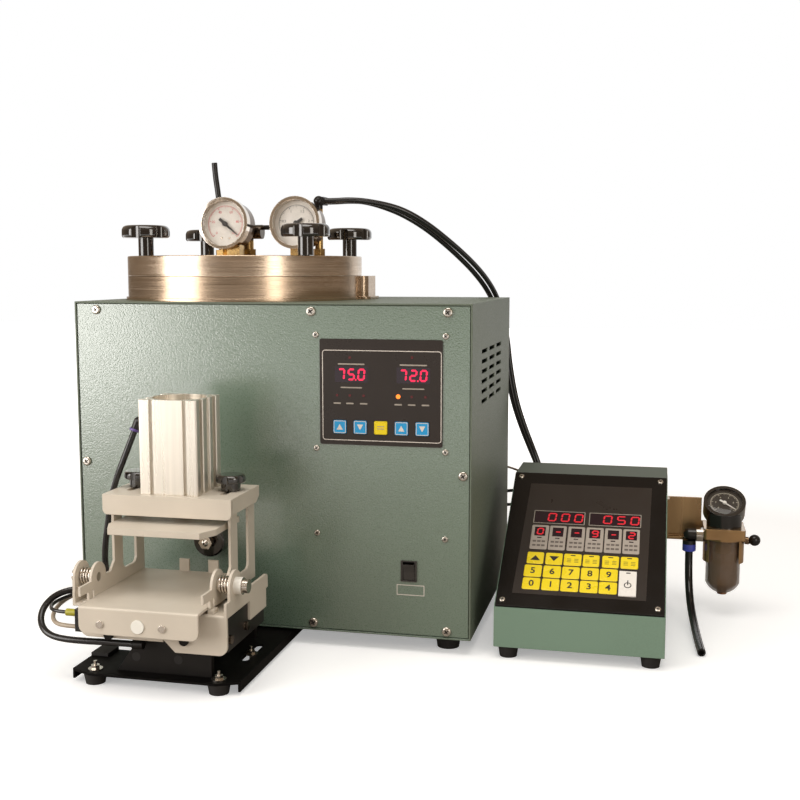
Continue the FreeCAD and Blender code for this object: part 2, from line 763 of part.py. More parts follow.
def cabinet_shell():
    y0 = -RIM
    y1 = CAB_D + RIM
    parts = [box(0, CAB_W, y0, y1, CASE_Z1 - SHEET, CASE_Z1)]
    parts.append(box(0, SHEET, y0, y1, CASE_Z0, CASE_Z1))
    parts.append(box(CAB_W - SHEET, CAB_W, y0, y1, CASE_Z0, CASE_Z1))
    z0 = CASE_Z0 + SHEET
    z1 = CASE_Z1 - SHEET
    for y in FLANGE_Y:
        parts.append(box(INNER_X0, INNER_X0 + FLANGE_W, y, y + SHEET, z0, z1))
        parts.append(box(INNER_X1 - FLANGE_W, INNER_X1, y, y + SHEET, z0, z1))
        parts.append(box(INNER_X0, INNER_X1, y, y + SHEET, z1 - FLANGE_W, z1))
    shell = one(parts)
    shell = shell.cut(rod(Vec(POT_X, POT_Y, CASE_Z1 - 9), Vec(POT_X, POT_Y, CASE_Z1 + 9),
                          POT_R + POT_HOLE_GAP))
    vents = []
    for x in (-1.0, CAB_W - SHEET - 1.0):
        for y in VENT_COLUMNS:
            for i in range(VENT_ROWS):
                z = CASE_Z1 - VENT_TOP_DROP - i * VENT_PITCH
                vents.append(box(x, x + SHEET + 2.0, y - VENT_L / 2, y + VENT_L / 2, z - VENT_H / 2,
                                 z + VENT_H / 2))
    shell = shell.cut(vents)
    shell = cut_screw_holes(shell, EDGE_SCREWS, BIG_SHANK_R, 0.0, CAB_D)
    return shell


def base_pan():
    z0 = CASE_Z0
    z1 = CASE_Z0 + SHEET
    parts = [box(INNER_X0, INNER_X1, -RIM, CAB_D + RIM, z0, z1)]
    for y in FLANGE_Y:
        parts.append(box(INNER_X0 + FLANGE_W, INNER_X1 - FLANGE_W, y, y + SHEET, z1, z1 + FLANGE_W))
    inner_y0 = FLANGE_Y[0] + SHEET
    inner_y1 = FLANGE_Y[1]
    parts.append(box(INNER_X0, INNER_X0 + SHEET, inner_y0, inner_y1, z1, z1 + FLANGE_W))
    parts.append(box(INNER_X1 - SHEET, INNER_X1, inner_y0, inner_y1, z1, z1 + FLANGE_W))
    pan = one(parts)
    pan = cut_screw_holes(pan, EDGE_SCREWS, BIG_SHANK_R, 0.0, CAB_D)
    port = box(PORT_XS[0] - UNION_R - 1, PORT_XS[-1] + UNION_R + 1, FLANGE_Y[0] - 1,
               FLANGE_Y[0] + SHEET + 1, z1 + 8.0, z1 + FLANGE_W + 1)
    return pan.cut(port)


def plain_panel(y0, y1):
    x0, x1, z0, z1 = PANEL_BOX
    return box(x0, x1, y0, y1, z0, z1)


def key_centres():
    z = OVERLAY_Z0 + KEY_Z
    return [(OVERLAY_X0 + KEY_FIRST_X + i * KEY_PITCH, z) for i in range(KEY_COUNT)]


def square_y(x, z, half_x, half_z, y0, y1):
    return box(x - half_x, x + half_x, y0, y1, z - half_z, z + half_z)


def key_holes(y0, y1):
    half = KEY_SIZE / 2 + FACE_GAP
    return [square_y(x, z, half, half, y0, y1) for x, z in key_centres()]


def front_panel():
    panel = plain_panel(0.0, PANEL_T)
    panel = cut_screw_holes(panel, EDGE_SCREWS, BIG_SHANK_R, -1.0, PANEL_T + 1)
    panel = cut_screw_holes(panel, board_screws(), SMALL_SHANK_R, -1.0, PANEL_T + 1)
    cuts = key_holes(-1.0, PANEL_T + 1)
    for x in DISPLAY_XS:
        cuts.append(square_y(OVERLAY_X0 + x, OVERLAY_Z0 + DISPLAY_Z, DISPLAY_W / 2 + 0.5,
                             DISPLAY_H / 2 + 0.5, -1, PANEL_T + 1))
    cuts.append(square_y(ROCKER_X, ROCKER_Z, ROCKER_BODY_W / 2, ROCKER_BODY_H / 2, -1, PANEL_T + 1))
    cuts.append(rod(Vec(CLAMP_X, -1, NOZZLE_Z), Vec(CLAMP_X, PANEL_T + 1, NOZZLE_Z), FEED_R + FEED_GAP))
    for x in PORT_XS:
        cuts.append(rod(Vec(x, -1, PORT_Z), Vec(x, PANEL_T + 1, PORT_Z), PORT_R))
    return panel.cut(cuts)


def rear_panel():
    panel = plain_panel(CAB_D - PANEL_T, CAB_D)
    panel = cut_screw_holes(panel, EDGE_SCREWS, BIG_SHANK_R, CAB_D - PANEL_T - 1, CAB_D + 1)
    opening = square_y(INLET_X, INLET_Z, INLET_W / 2, INLET_H / 2, CAB_D - PANEL_T - 1, CAB_D + 1)
    return panel.cut([opening] + union_holes(CAB_D))


def board_screws():
    return [(x, z) for x in BOARD_SCREW_XS for z in BOARD_SCREW_ZS]


def cabinet_screws():
    screws = []
    for x, z in EDGE_SCREWS:
        screws.append(screw(Vec(x, 0, z), Y * -1, BIG_HEAD_R, BIG_HEAD_H, BIG_SHANK_R, SCREW_LENGTH))
        screws.append(screw(Vec(x, CAB_D, z), Y, BIG_HEAD_R, BIG_HEAD_H, BIG_SHANK_R, SCREW_LENGTH))
    for x, z in board_screws():
        screws.append(screw(Vec(x, 0, z), Y * -1, SMALL_HEAD_R, SMALL_HEAD_H, SMALL_SHANK_R, SCREW_LENGTH))
    for x, s in face_screws():
        head = screw(Vec(0, 0, 0), Z, SMALL_HEAD_R, SMALL_HEAD_H, SMALL_SHANK_R, FACE_T + CTRL_SHEET + 1)
        head.Placement = slope_place(x, s, FACE_T)
        screws.append(head)
    screws += [base_bolt(x, y) for x, y in base_feet()[:2]]
    screws.append(base_bolt(CLAMP_X + BASE_SLOT_X, SLOT_BOLT_Y))
    return screws


def foot(x, y, height, radius):
    return Part.makeCone(radius * 0.82, radius, height, Vec(x, y, 0))


def rubber_feet():
    feet = []
    for x in (CAB_FOOT_INSET_X, CAB_W - CAB_FOOT_INSET_X):
        for y in (CAB_FOOT_INSET_Y, CAB_D - CAB_FOOT_INSET_Y):
            feet.append(foot(x, y, CAB_FOOT_H, CAB_FOOT_R))
    for x, y in base_feet():
        hole = rod(Vec(x, y, BASE_Z - SCREW_LENGTH / 2 - 1), Vec(x, y, BASE_Z), SMALL_SHANK_R + SCREW_GAP)
        feet.append(foot(x, y, BASE_Z, BASE_FOOT_R).cut(hole))
    feet.append(base_pad())
    for x in (CTRL_X + CTRL_FOOT_INSET_X, CTRL_X + CTRL_W - CTRL_FOOT_INSET_X):
        for y in (CTRL_Y + CTRL_FOOT_INSET_Y, CTRL_Y + CTRL_D - CTRL_FOOT_INSET_Y):
            feet.append(foot(x, y, CTRL_FOOT_H, CTRL_FOOT_R))
    return feet


# ------------------------------------------------------------------ control panel
def control_panel():
    x0 = OVERLAY_X0
    z0 = OVERLAY_Z0
    film = box(x0, x0 + OVERLAY_W, -OVERLAY_T, 0, z0, z0 + OVERLAY_H)
    corners = [(x, z) for x in (x0, x0 + OVERLAY_W) for z in (z0, z0 + OVERLAY_H)]
    film = rounded(film, 2.0, lambda e: along(e, Y)
                   and (round(e.CenterOfMass.x, 3),
                        round(e.CenterOfMass.z, 3)) in [(round(a, 3), round(b, 3)) for a, b in corners])
    return [film.cut(key_holes(-OVERLAY_T - 1, 1))]


def panel_key(x, z):
    half = KEY_SIZE / 2
    cap = square_y(x, z, half, half, -OVERLAY_T - KEY_PROUD, PANEL_T + FACE_GAP)
    cap = rounded(cap, 1.2, lambda e: along(e, Y))
    wide = half + KEY_RETAINER
    back = PANEL_T + FACE_GAP
    return [cap.fuse(square_y(x, z, wide, wide, back, back + KEY_RETAINER_T))]


def cabinet_board():
    x0 = BOARD_SCREW_XS[0] - BOARD_MARGIN
    x1 = BOARD_SCREW_XS[-1] + BOARD_MARGIN
    z0 = BOARD_SCREW_ZS[-1] - BOARD_MARGIN
    z1 = BOARD_SCREW_ZS[0] + BOARD_MARGIN
    board = box(x0, x1, BOARD_Y, BOARD_Y + BOARD_T, z0, z1)
    solids = [board]
    for x, z in board_screws():
        post = rod(Vec(x, PANEL_T, z), Vec(x, BOARD_Y, z), STANDOFF_R)
        solids.append(post.cut(rod(Vec(x, PANEL_T, z), Vec(x, BOARD_Y, z), SMALL_SHANK_R + SCREW_GAP)))
    switch_y = PANEL_T + FACE_GAP + KEY_RETAINER_T + KEY_TRAVEL + 0.1
    for x, z in key_centres():
        solids.append(square_y(x, z, SWITCH_SIZE / 2, SWITCH_SIZE / 2, switch_y, BOARD_Y))
    for x in DISPLAY_XS:
        solids.append(square_y(OVERLAY_X0 + x, OVERLAY_Z0 + DISPLAY_Z, DISPLAY_W / 2, DISPLAY_H / 2, 0.3,
                               BOARD_Y))
    return solids


def rocker_frame():
    bezel = square_y(ROCKER_X, ROCKER_Z, ROCKER_BEZEL_W / 2, ROCKER_BEZEL_H / 2, -ROCKER_BEZEL_T, 0)
    body = square_y(ROCKER_X, ROCKER_Z, ROCKER_BODY_W / 2 - 0.1, ROCKER_BODY_H / 2 - 0.1, 0, ROCKER_BODY_D)
    half_w = ROCKER_BODY_W / 2 - ROCKER_WALL
    half_h = ROCKER_BODY_H / 2 - 0.4
    room = square_y(ROCKER_X, ROCKER_Z, half_w, half_h, -ROCKER_BEZEL_T - 1, ROCKER_PIVOT_Y + 5)
    frame = bezel.fuse(body).cut(room)
    p = Vec(ROCKER_X, ROCKER_PIVOT_Y, ROCKER_Z)
    frame = frame.cut(rod(p - X * half_w - X * 0.6, p + X * half_w + X * 0.6, ROCKER_PIN_R + RUN_GAP))
    blades = []
    for dz in (-5.0, 5.0):
        z = ROCKER_Z + dz
        blades.append(box(ROCKER_X - 2.4, ROCKER_X + 2.4, ROCKER_BODY_D, ROCKER_BODY_D + 7, z - 0.4,
                          z + 0.4))
    return [frame] + blades


def rocker_button():
    drop = ROCKER_HALF * math.tan(math.radians(ROCKER_TILT))
    points = [(-ROCKER_FACE, 0), (-ROCKER_FACE - drop, ROCKER_HALF), (-3.0, ROCKER_HALF), (2.0, 2.5),
              (2.0, -2.5), (-3.0, -ROCKER_HALF), (-ROCKER_FACE - drop, -ROCKER_HALF)]
    half_w = ROCKER_BODY_W / 2 - ROCKER_WALL
    shape = prism_x(points, -half_w + FACE_GAP, half_w - FACE_GAP)
    pin = half_w + 0.5
    shape = shape.fuse(rod(X * -pin, X * pin, ROCKER_PIN_R))
    turn = FreeCAD.Rotation(X, ROCKER_TILT)
    shape.Placement = FreeCAD.Placement(Vec(ROCKER_X, ROCKER_PIVOT_Y, ROCKER_Z), turn)
    return [shape]


def mains_inlet():
    y = CAB_D
    flange = square_y(INLET_X, INLET_Z, INLET_W / 2 + INLET_FLANGE, INLET_H / 2 + 3, y, y + INLET_FLANGE_T)
    body = square_y(INLET_X, INLET_Z, INLET_W / 2 - 0.2, INLET_H / 2 - 0.2, y - INLET_DEPTH, y)
    recess = square_y(INLET_X, INLET_Z, INLET_W / 2 - INLET_WALL, INLET_H / 2 - INLET_WALL,
                      y - INLET_DEPTH + 4, y + INLET_FLANGE_T + 1)
    inlet = flange.fuse(body).cut(recess)
    pins = []
    for dx, dz in ((-7.0, -2.0), (0.0, 2.5), (7.0, -2.0)):
        pins.append(square_y(INLET_X + dx, INLET_Z + dz, INLET_PIN / 2, 2.0, y - INLET_DEPTH + 4, y - 2))
    return [one([inlet] + pins)]


# ------------------------------------------------------------------ pot and lid
FLANGE_Z0 = CASE_Z1 + POT_STEP_H
FLANGE_Z1 = FLANGE_Z0 + POT_FLANGE_T
LID_Z0 = FLANGE_Z1 + LID_GAP
LID_Z1 = LID_Z0 + LID_T


def pot_rod(z0, z1, radius):
    return rod(Vec(POT_X, POT_Y, z0), Vec(POT_X, POT_Y, z1), radius)


def knob_centres():
    return [Vec(POT_X + x, POT_Y + y, 0) for x, y in KNOB_PLACES]


def lug(z0, z1, grow):
    reach = POT_X + LUG_REACH + grow
    piece = box(POT_X + POT_R, reach, POT_Y + LUG_Y0 - grow, POT_Y + LUG_Y1 + grow, z0, z1)
    return rounded(piece, LUG_ROUND, lambda e: along(e, Z) and near(e.CenterOfMass.x, reach))


def wax_pot():
    body = pot_rod(POT_FLOOR_Z, CASE_Z1, POT_R)
    step = pot_rod(CASE_Z1, FLANGE_Z0, POT_FLANGE_R + POT_STEP_GROW - 1.0)
    flange = pot_rod(FLANGE_Z0, FLANGE_Z1, POT_FLANGE_R)
    pot = one([body, step, flange, lug(FLANGE_Z0, FLANGE_Z1, 0.0), lug(CASE_Z1, FLANGE_Z0, POT_STEP_GROW)])
    pot = pot.cut(pot_rod(POT_FLOOR_Z + POT_FLOOR_T, FLANGE_Z1 + 1, POT_R - POT_WALL))
    groove = pot_rod(FLANGE_Z1 - GASKET_DEPTH, FLANGE_Z1 + 1, GASKET_R0 + GASKET_W)
    pot = pot.cut(groove.cut(pot_rod(FLANGE_Z1 - GASKET_DEPTH, FLANGE_Z1 + 1, GASKET_R0)))
    holes = [rod(c + Z * (FLANGE_Z1 - STUD_HOLE_DEPTH), c + Z * (FLANGE_Z1 + 1), STUD_R + SCREW_GAP)
             for c in knob_centres()]
    pipe_x = Vec(CLAMP_X, FEED_PIPE_Y, 0)
    holes.append(rod(pipe_x + Z * (POT_FLOOR_Z - 1), pipe_x + Z * (POT_FLOOR_Z + POT_FLOOR_T + 1),
                     FEED_PIPE_R / 2))
    return [pot.cut(holes)]


def lid_gasket():
    inner = GASKET_R0 + 0.1
    outer = GASKET_R0 + GASKET_W - 0.1
    z0 = FLANGE_Z1 - GASKET_DEPTH
    return [pot_rod(z0, LID_Z0, outer).cut(pot_rod(z0, LID_Z0, inner))]


def heater_band():
    band = pot_rod(BAND_Z0, BAND_Z0 + BAND_H, POT_R + BAND_T).cut(pot_rod(BAND_Z0, BAND_Z0 + BAND_H, POT_R))
    lock = box(POT_X - 6, POT_X + 6, POT_Y + POT_R + BAND_T - 0.5, POT_Y + POT_R + BAND_T + 6,
               BAND_Z0 + 10, BAND_Z0 + BAND_H - 10)
    return [band.fuse(lock)]


def pot_lid():
    lid = pot_rod(LID_Z0, LID_Z1, LID_R)
    lid = rounded(lid, 1.0, lambda e: near(e.BoundBox.ZMin, LID_Z1) and near(e.BoundBox.ZMax, LID_Z1))
    return [lid.cut([rod(c + Z * (LID_Z0 - 1), c + Z * (LID_Z1 + 1), STUD_R + RUN_GAP)
                     for c in knob_centres()])]


def lid_knob(centre):
    z0 = LID_Z1 + FACE_GAP
    z1 = LID_Z1 + KNOB_STEM_H
    stem = rod(centre + Z * z0, centre + Z * z1, KNOB_STEM_R)
    head = lobed_knob(centre, z1, z1 + KNOB_HEAD_H, KNOB_HEAD_R, KNOB_LOBES, KNOB_SCALLOP_R,
                      KNOB_SCALLOP_OUT)
    stud = rod(centre + Z * (FLANGE_Z1 - STUD_REACH), centre + Z * z0, STUD_R)
    return [one([stem, head, stud])]


# ------------------------------------------------------------------ gauges
def gauge_place(x):
    """Local +z is the dial's normal: to the front, tilted up a little."""
    turn = FreeCAD.Rotation(X, 90.0 - GAUGE_TILT)
    return FreeCAD.Placement(Vec(x, GAUGE_Y, GAUGE_Z), turn)


def gauge_case():
    body = rod(Z * -GAUGE_DEPTH, Z * 0, GAUGE_R)
    bezel = rod(Z * -GAUGE_BEZEL_L, Z * 1.5, GAUGE_BEZEL_R)
    case = body.fuse(bezel)
    case = case.cut(rod(Z * -GAUGE_DIAL_DEPTH, Z * 3, GAUGE_BORE_R))
    case = case.cut(rod(Z * -GAUGE_LENS_IN, Z * (GAUGE_LENS_T - GAUGE_LENS_IN), GAUGE_LENS_R + 0.05))
    spindle = rod(Z * -GAUGE_DIAL_DEPTH, Z * (NEEDLE_LIFT + NEEDLE_HUB_T - 0.4 - GAUGE_DIAL_DEPTH),
                  NEEDLE_SPINDLE_R)
    return case.fuse(spindle)


def gauge_needle(degrees):
    z0 = NEEDLE_LIFT - GAUGE_DIAL_DEPTH
    hub = rod(Z * z0, Z * (z0 + NEEDLE_HUB_T), NEEDLE_HUB_R)
    zb = z0 + 0.9
    blade = prism_z([(0, -NEEDLE_W), (0, NEEDLE_W), (NEEDLE_REACH, 0.3), (NEEDLE_REACH, -0.3)], zb,
                    zb + NEEDLE_T)
    tail = box(-NEEDLE_TAIL, 0, -NEEDLE_TAIL_W / 2, NEEDLE_TAIL_W / 2, zb, zb + NEEDLE_T)
    needle = one([hub, blade, tail])
    needle = needle.cut(rod(Z * (z0 - 1), Z * (z0 + NEEDLE_HUB_T - 0.3), NEEDLE_SPINDLE_R + RUN_GAP))
    needle.rotate(Vec(0, 0, 0), Z, degrees)
    return needle


def placed(shape, placement):
    copy = shape.copy()
    copy.Placement = placement.multiply(copy.Placement)
    return copy


def gauge_cases():
    return [placed(gauge_case(), gauge_place(x)) for x in GAUGE_XS]


def gauge_lenses():
    lens = rod(Z * -GAUGE_LENS_IN, Z * (GAUGE_LENS_T - GAUGE_LENS_IN), GAUGE_LENS_R)
    return [placed(lens, gauge_place(x)) for x in GAUGE_XS]


def lid_fittings():
    solids = []
    half = GAUGE_STEM_W / 2
    y = GAUGE_Y + GAUGE_STEM_BACK
    for x, side in zip(GAUGE_XS, GAUGE_STEM_SIDES):
        post = box(x + side - half, x + side + half, y - half, y + half, LID_Z1, GAUGE_Z)
        solids.append(post.cut(placed(rod(Z * -GAUGE_DEPTH, Z * 3, GAUGE_R), gauge_place(x))).Solids[0])
    top = LID_Z1 + FITTING_HEX_H
    solids.append(hexagon(Vec(VALVE_X, VALVE_Y, LID_Z1), Vec(VALVE_X, VALVE_Y, top), FITTING_HEX))
    solids.append(valve_and_riser(top))
    solids.append(hexagon(Vec(RISER_X, RISER_Y, LID_Z1), Vec(RISER_X, RISER_Y, top), FITTING_HEX - 3))
    vent_x, vent_y, vent_z = VENT_TUBE_TOP[0]
    solids.append(hexagon(Vec(vent_x, vent_y, LID_Z1), Vec(vent_x, vent_y, vent_z), FITTING_HEX - 2))
    solids.append(tube("vent_tube", VENT_TUBE_TOP, VENT_TUBE_R, VENT_TUBE_BORE))
    return solids


def valve_and_riser(top):
    neck = rod(Vec(VALVE_X, VALVE_Y, top), Vec(VALVE_X, VALVE_Y, VALVE_Z), VALVE_NECK_R)
    valve = rod(Vec(VALVE_X0, VALVE_Y, VALVE_Z), Vec(VALVE_X1, VALVE_Y, VALVE_Z), VALVE_R)
    link = rod(Vec(VALVE_X1 - 4.0, VALVE_Y, LINK_TUBE_Z), Vec(RISER_X, RISER_Y, LINK_TUBE_Z), LINK_TUBE_R)
    riser = rod(Vec(RISER_X, RISER_Y, top), Vec(RISER_X, RISER_Y, ELBOW_Z), RISER_R)
    ball = Part.makeSphere(ELBOW_R, Vec(RISER_X, RISER_Y, ELBOW_Z))
    seat_x = RISER_X + MANIFOLD_L
    manifold = box(RISER_X, seat_x, RISER_Y - ELBOW_R + 1, MANIFOLD_Y1, ELBOW_Z - MANIFOLD_H / 2,
                   ELBOW_Z + MANIFOLD_H / 2)
    return one([neck, valve, link, riser, ball, manifold])


# ------------------------------------------------------------------ nozzle
def nozzle_point(y):
    return Vec(CLAMP_X, y, NOZZLE_Z)


def nozzle_housing():
    body = rod(nozzle_point(-HOUSING_L), nozzle_point(0), HOUSING_R)
    body = rounded(body, 2.0, lambda e: near(e.BoundBox.YMin, -HOUSING_L)
                   and near(e.BoundBox.YMax, -HOUSING_L))
    body = body.cut(rod(nozzle_point(-HOUSING_L + HOUSING_END_T), nozzle_point(1), FEED_R + FEED_GAP / 3))
    return [body.cut(rod(nozzle_point(-HOUSING_L - 1), nozzle_point(0), TIP_STEM_R + 1.0))]


def nozzle_feed():
    y0 = PANEL_T + SHEET + 0.5
    block = box(CLAMP_X - FEED_BLOCK_W / 2, CLAMP_X + FEED_BLOCK_W / 2, y0, y0 + FEED_BLOCK_D,
                NOZZLE_Z - FEED_BLOCK_H / 2, NOZZLE_Z + FEED_BLOCK_H / 2)
    spout = rod(nozzle_point(-HOUSING_L + HOUSING_END_T), nozzle_point(y0), FEED_R)
    foot_z = NOZZLE_Z + FEED_BLOCK_H / 2
    riser = rod(Vec(CLAMP_X, FEED_PIPE_Y, foot_z), Vec(CLAMP_X, FEED_PIPE_Y, POT_FLOOR_Z), FEED_PIPE_R)
    feed = one([block, spout, riser])
    feed = feed.cut(rod(nozzle_point(-HOUSING_L - 1), nozzle_point(TIP_STEM_IN + TIP_TRAVEL + 1),
                        TIP_STEM_R + RUN_GAP))
    feed = feed.cut(rod(nozzle_point(0), nozzle_point(FEED_PIPE_Y), TIP_STEM_R / 2))
    return [feed.cut(rod(Vec(CLAMP_X, FEED_PIPE_Y, NOZZLE_Z), Vec(CLAMP_X, FEED_PIPE_Y, POT_FLOOR_Z + 1),
                         FEED_PIPE_R / 2))]


def nozzle_tip():
    hex_back = -HOUSING_L - TIP_TRAVEL - 0.5
    hex_front = hex_back - TIP_HEX_T
    tip_end = hex_front - TIP_CONE_L
    stem = rod(nozzle_point(hex_back), nozzle_point(TIP_STEM_IN), TIP_STEM_R)
    nut = hexagon(nozzle_point(hex_front), nozzle_point(hex_back), TIP_HEX)
    cone = Part.makeCone(TIP_CONE_R1, TIP_CONE_R0, TIP_CONE_L, nozzle_point(tip_end), Y)
    tip = one([stem, nut, cone])
    return [tip.cut(rod(nozzle_point(tip_end - 1), nozzle_point(TIP_STEM_IN + 1), TIP_BORE_R))]


# ------------------------------------------------------------------ valve block
def solenoid_valves():
    y0 = PANEL_T + SHEET + 0.5
    x1 = VALVE_BLOCK_X + VALVE_BLOCK_W
    z1 = VALVE_BLOCK_Z0 + VALVE_BLOCK_H
    block = box(VALVE_BLOCK_X, x1, y0, y0 + VALVE_BLOCK_D, CASE_Z0 + SHEET, z1)
    parts = [block]
    for x in PORT_XS:
        parts.append(rod(Vec(x, -PORT_REACH, PORT_Z), Vec(x, y0 + 1, PORT_Z), PORT_R - SCREW_GAP))
        parts.append(box(x - VALVE_COIL_W / 2, x + VALVE_COIL_W / 2, y0 + 4, y0 + VALVE_BLOCK_D - 4, z1,
                         z1 + VALVE_COIL_H))
    return [one(parts)]


# ------------------------------------------------------------------ rear unions
def rear_unions():
    """(x, z, face y, radius) of each union in a rear face."""
    places = []
    for start, radius in ((LINK_HOSE_TOP[0], REAR_UNION_R), (LINK_HOSE_LOW[0], REAR_UNION_R),
                          (LINK_WIRE[0], WIRE_GROMMET_R)):
        places.append((start[0], start[2], CAB_D, radius))
    for end, radius in ((LID_HOSE_A[-1], REAR_UNION_R), (LID_HOSE_B[-1], REAR_UNION_R),
                        (LINK_HOSE_TOP[-1], REAR_UNION_R), (LINK_HOSE_LOW[-1], REAR_UNION_R),
                        (LINK_WIRE[-1], WIRE_GROMMET_R)):
        places.append((end[0], end[2], CTRL_Y + CTRL_D, radius))
    return places


def union_holes(face_y):
    cuts = []
    for x, z, y, radius in rear_unions():
        if near(y, face_y):
            cuts.append(rod(Vec(x, y - REAR_UNION_IN, z), Vec(x, y + 1, z), radius - 1.0 + SCREW_GAP))
    return cuts


def hose_unions():
    unions = []
    for x, z, y, radius in rear_unions():
        flange = rod(Vec(x, y, z), Vec(x, y + REAR_UNION_OUT, z), radius)
        unions.append(flange.fuse(rod(Vec(x, y - REAR_UNION_IN, z), Vec(x, y, z), radius - 1.0)))
    return unions


# ------------------------------------------------------------------ clamp base and slide
def base_outline():
    c = CLAMP_X
    return [(c - BASE_FRONT_HALF_W, BASE_FRONT_Y), (c + BASE_FRONT_HALF_W, BASE_FRONT_Y),
            (c + BASE_HALF_W, BASE_SIDE_Y), (c + BASE_HALF_W, BASE_REAR_Y),
            (c - BASE_ARM_HALF_W, BASE_REAR_Y), (c - BASE_ARM_HALF_W, BASE_ARM_REAR_Y),
            (c - BASE_HALF_W, BASE_ARM_REAR_Y), (c - BASE_HALF_W, BASE_SIDE_Y)]


def base_feet():
    """Centres of the clamp's four feet."""
    c = CLAMP_X
    return [(c - BASE_FOOT_X, BASE_FOOT_FRONT_Y), (c + BASE_FOOT_X, BASE_FOOT_FRONT_Y),
            (c - BASE_REAR_FOOT_X, BASE_FOOT_REAR_Y), (c + BASE_FOOT_X, BASE_FOOT_REAR_Y)]


def base_bolt(x, y):
    """Washer, nut and the bolt's end on the base plate's top."""
    z = BASE_Z + BASE_T
    washer = rod(Vec(x, y, z), Vec(x, y, z + WASHER_T), WASHER_R)
    nut = hexagon(Vec(x, y, z + WASHER_T), Vec(x, y, z + WASHER_T + NUT_H), NUT_AF)
    stud = rod(Vec(x, y, z - BASE_T - SCREW_LENGTH / 2), Vec(x, y, z + FOOT_STUD_H), SMALL_SHANK_R)
    return one([washer, nut, stud])


def base_pad():
    x0 = CLAMP_X - BASE_HALF_W
    z = BASE_Z + BASE_T
    return box(x0, x0 + BASE_PAD_W, BASE_ARM_REAR_Y - BASE_PAD_L, BASE_ARM_REAR_Y, z, z + BASE_PAD_T)


def slot_cut(x, y, length, width, z0, z1):
    half = width / 2
    straight = box(x - half, x + half, y - length / 2 + half, y + length / 2 - half, z0, z1)
    ends = [rod(Vec(x, y + s * (length / 2 - half), z0), Vec(x, y + s * (length / 2 - half), z1), half)
            for s in (-1, 1)]
    return one([straight] + ends)


def clamp_base():
    z1 = BASE_Z + BASE_T
    parts = [prism_z(base_outline(), BASE_Z, z1)]
    for side, rear_y in ((-1, BASE_ARM_REAR_Y), (1, BASE_REAR_Y)):
        outer = CLAMP_X + side * BASE_HALF_W
        inner = outer - side * BASE_T
        parts.append(box(min(outer, inner), max(outer, inner), BASE_SIDE_Y, rear_y, BASE_Z - BASE_FLANGE_H,
                         z1))
    base = one(parts)
    cuts = [slot_cut(CLAMP_X + BASE_SLOT_X, BASE_SLOT_Y, BASE_SLOT_L, BASE_SLOT_W, BASE_Z - 1, z1 + 1)]
    for x, y in base_feet():
        cuts.append(rod(Vec(x, y, BASE_Z - 1), Vec(x, y, z1 + 1), SMALL_SHANK_R + SCREW_GAP))
    return [base.cut(cuts)] + base_spacers(z1)


def base_spacers(z0):
    places = [(CLAMP_X + s * SPACER_X, SPACER_Y) for s in (-1, 1)]
    return [rod(Vec(x, y, z0), Vec(x, y, CASE_Z0), SPACER_R) for x, y in places]


def mount_plate(y0):
    z0 = BASE_Z + BASE_T
    c = CLAMP_X
    top = MOUNT_TOP_Z
    step = top - MOUNT_SHOULDER_Z
    outline = [(c - MOUNT_LEFT_FOOT, z0), (c + MOUNT_RIGHT_W, z0), (c + MOUNT_RIGHT_W, MOUNT_SHOULDER_Z),
               (c + MOUNT_LEFT_TOP + step, MOUNT_SHOULDER_Z), (c + MOUNT_LEFT_TOP,
                                                               top), (c - MOUNT_LEFT_TOP, top)]
    return prism_y(outline, y0, y0 + MOUNT_T)


def slide_mount():
    plates = [mount_plate(MOUNT_FRONT_Y), mount_plate(MOUNT_REAR_Y)]
    union_y = CLAMP_LOOP[-1][1]
    end_x = CLAMP_LOOP[-1][0]
    z = CLAMP_LOOP[-1][2]
    arm = rod(Vec(end_x + UNION_R, union_y, z), Vec(end_x + UNION_R, MOUNT_FRONT_Y, z), UNION_R - 1.6)
    body = rod(Vec(end_x, union_y, z), Vec(end_x + 2 * UNION_R, union_y, z), UNION_R - 1.0)
    plates[0] = one([plates[0], arm, body])
    holes = [rod(slide_point(s * ROD_X, MOUNT_FRONT_Y - 1),
                 slide_point(s * ROD_X, MOUNT_REAR_Y + MOUNT_T + 1), ROD_R) for s in (-1, 1)]
    return [p.cut(holes) for p in plates]


def slide_point(x, y):
    return Vec(CLAMP_X + x, y, ROD_Z)


def slide_guides():
    rods = [rod(slide_point(s * ROD_X, MOUNT_FRONT_Y), slide_point(s * ROD_X, MOUNT_REAR_Y + MOUNT_T),
                ROD_R) for s in (-1, 1)]
    back = MOUNT_REAR_Y
    front = back - AIR_CYL_L
    barrel = rod(slide_point(0, front), slide_point(0, back), AIR_CYL_R)
    barrel = barrel.cut(rod(slide_point(0, front + AIR_CAP_T), slide_point(0, back - AIR_CAP_T),
                            AIR_CYL_BORE))
    barrel = barrel.cut(rod(slide_point(0, front - 1), slide_point(0, front + AIR_CAP_T + 1),
                            AIR_ROD_R + RUN_GAP))
    return rods + [barrel]


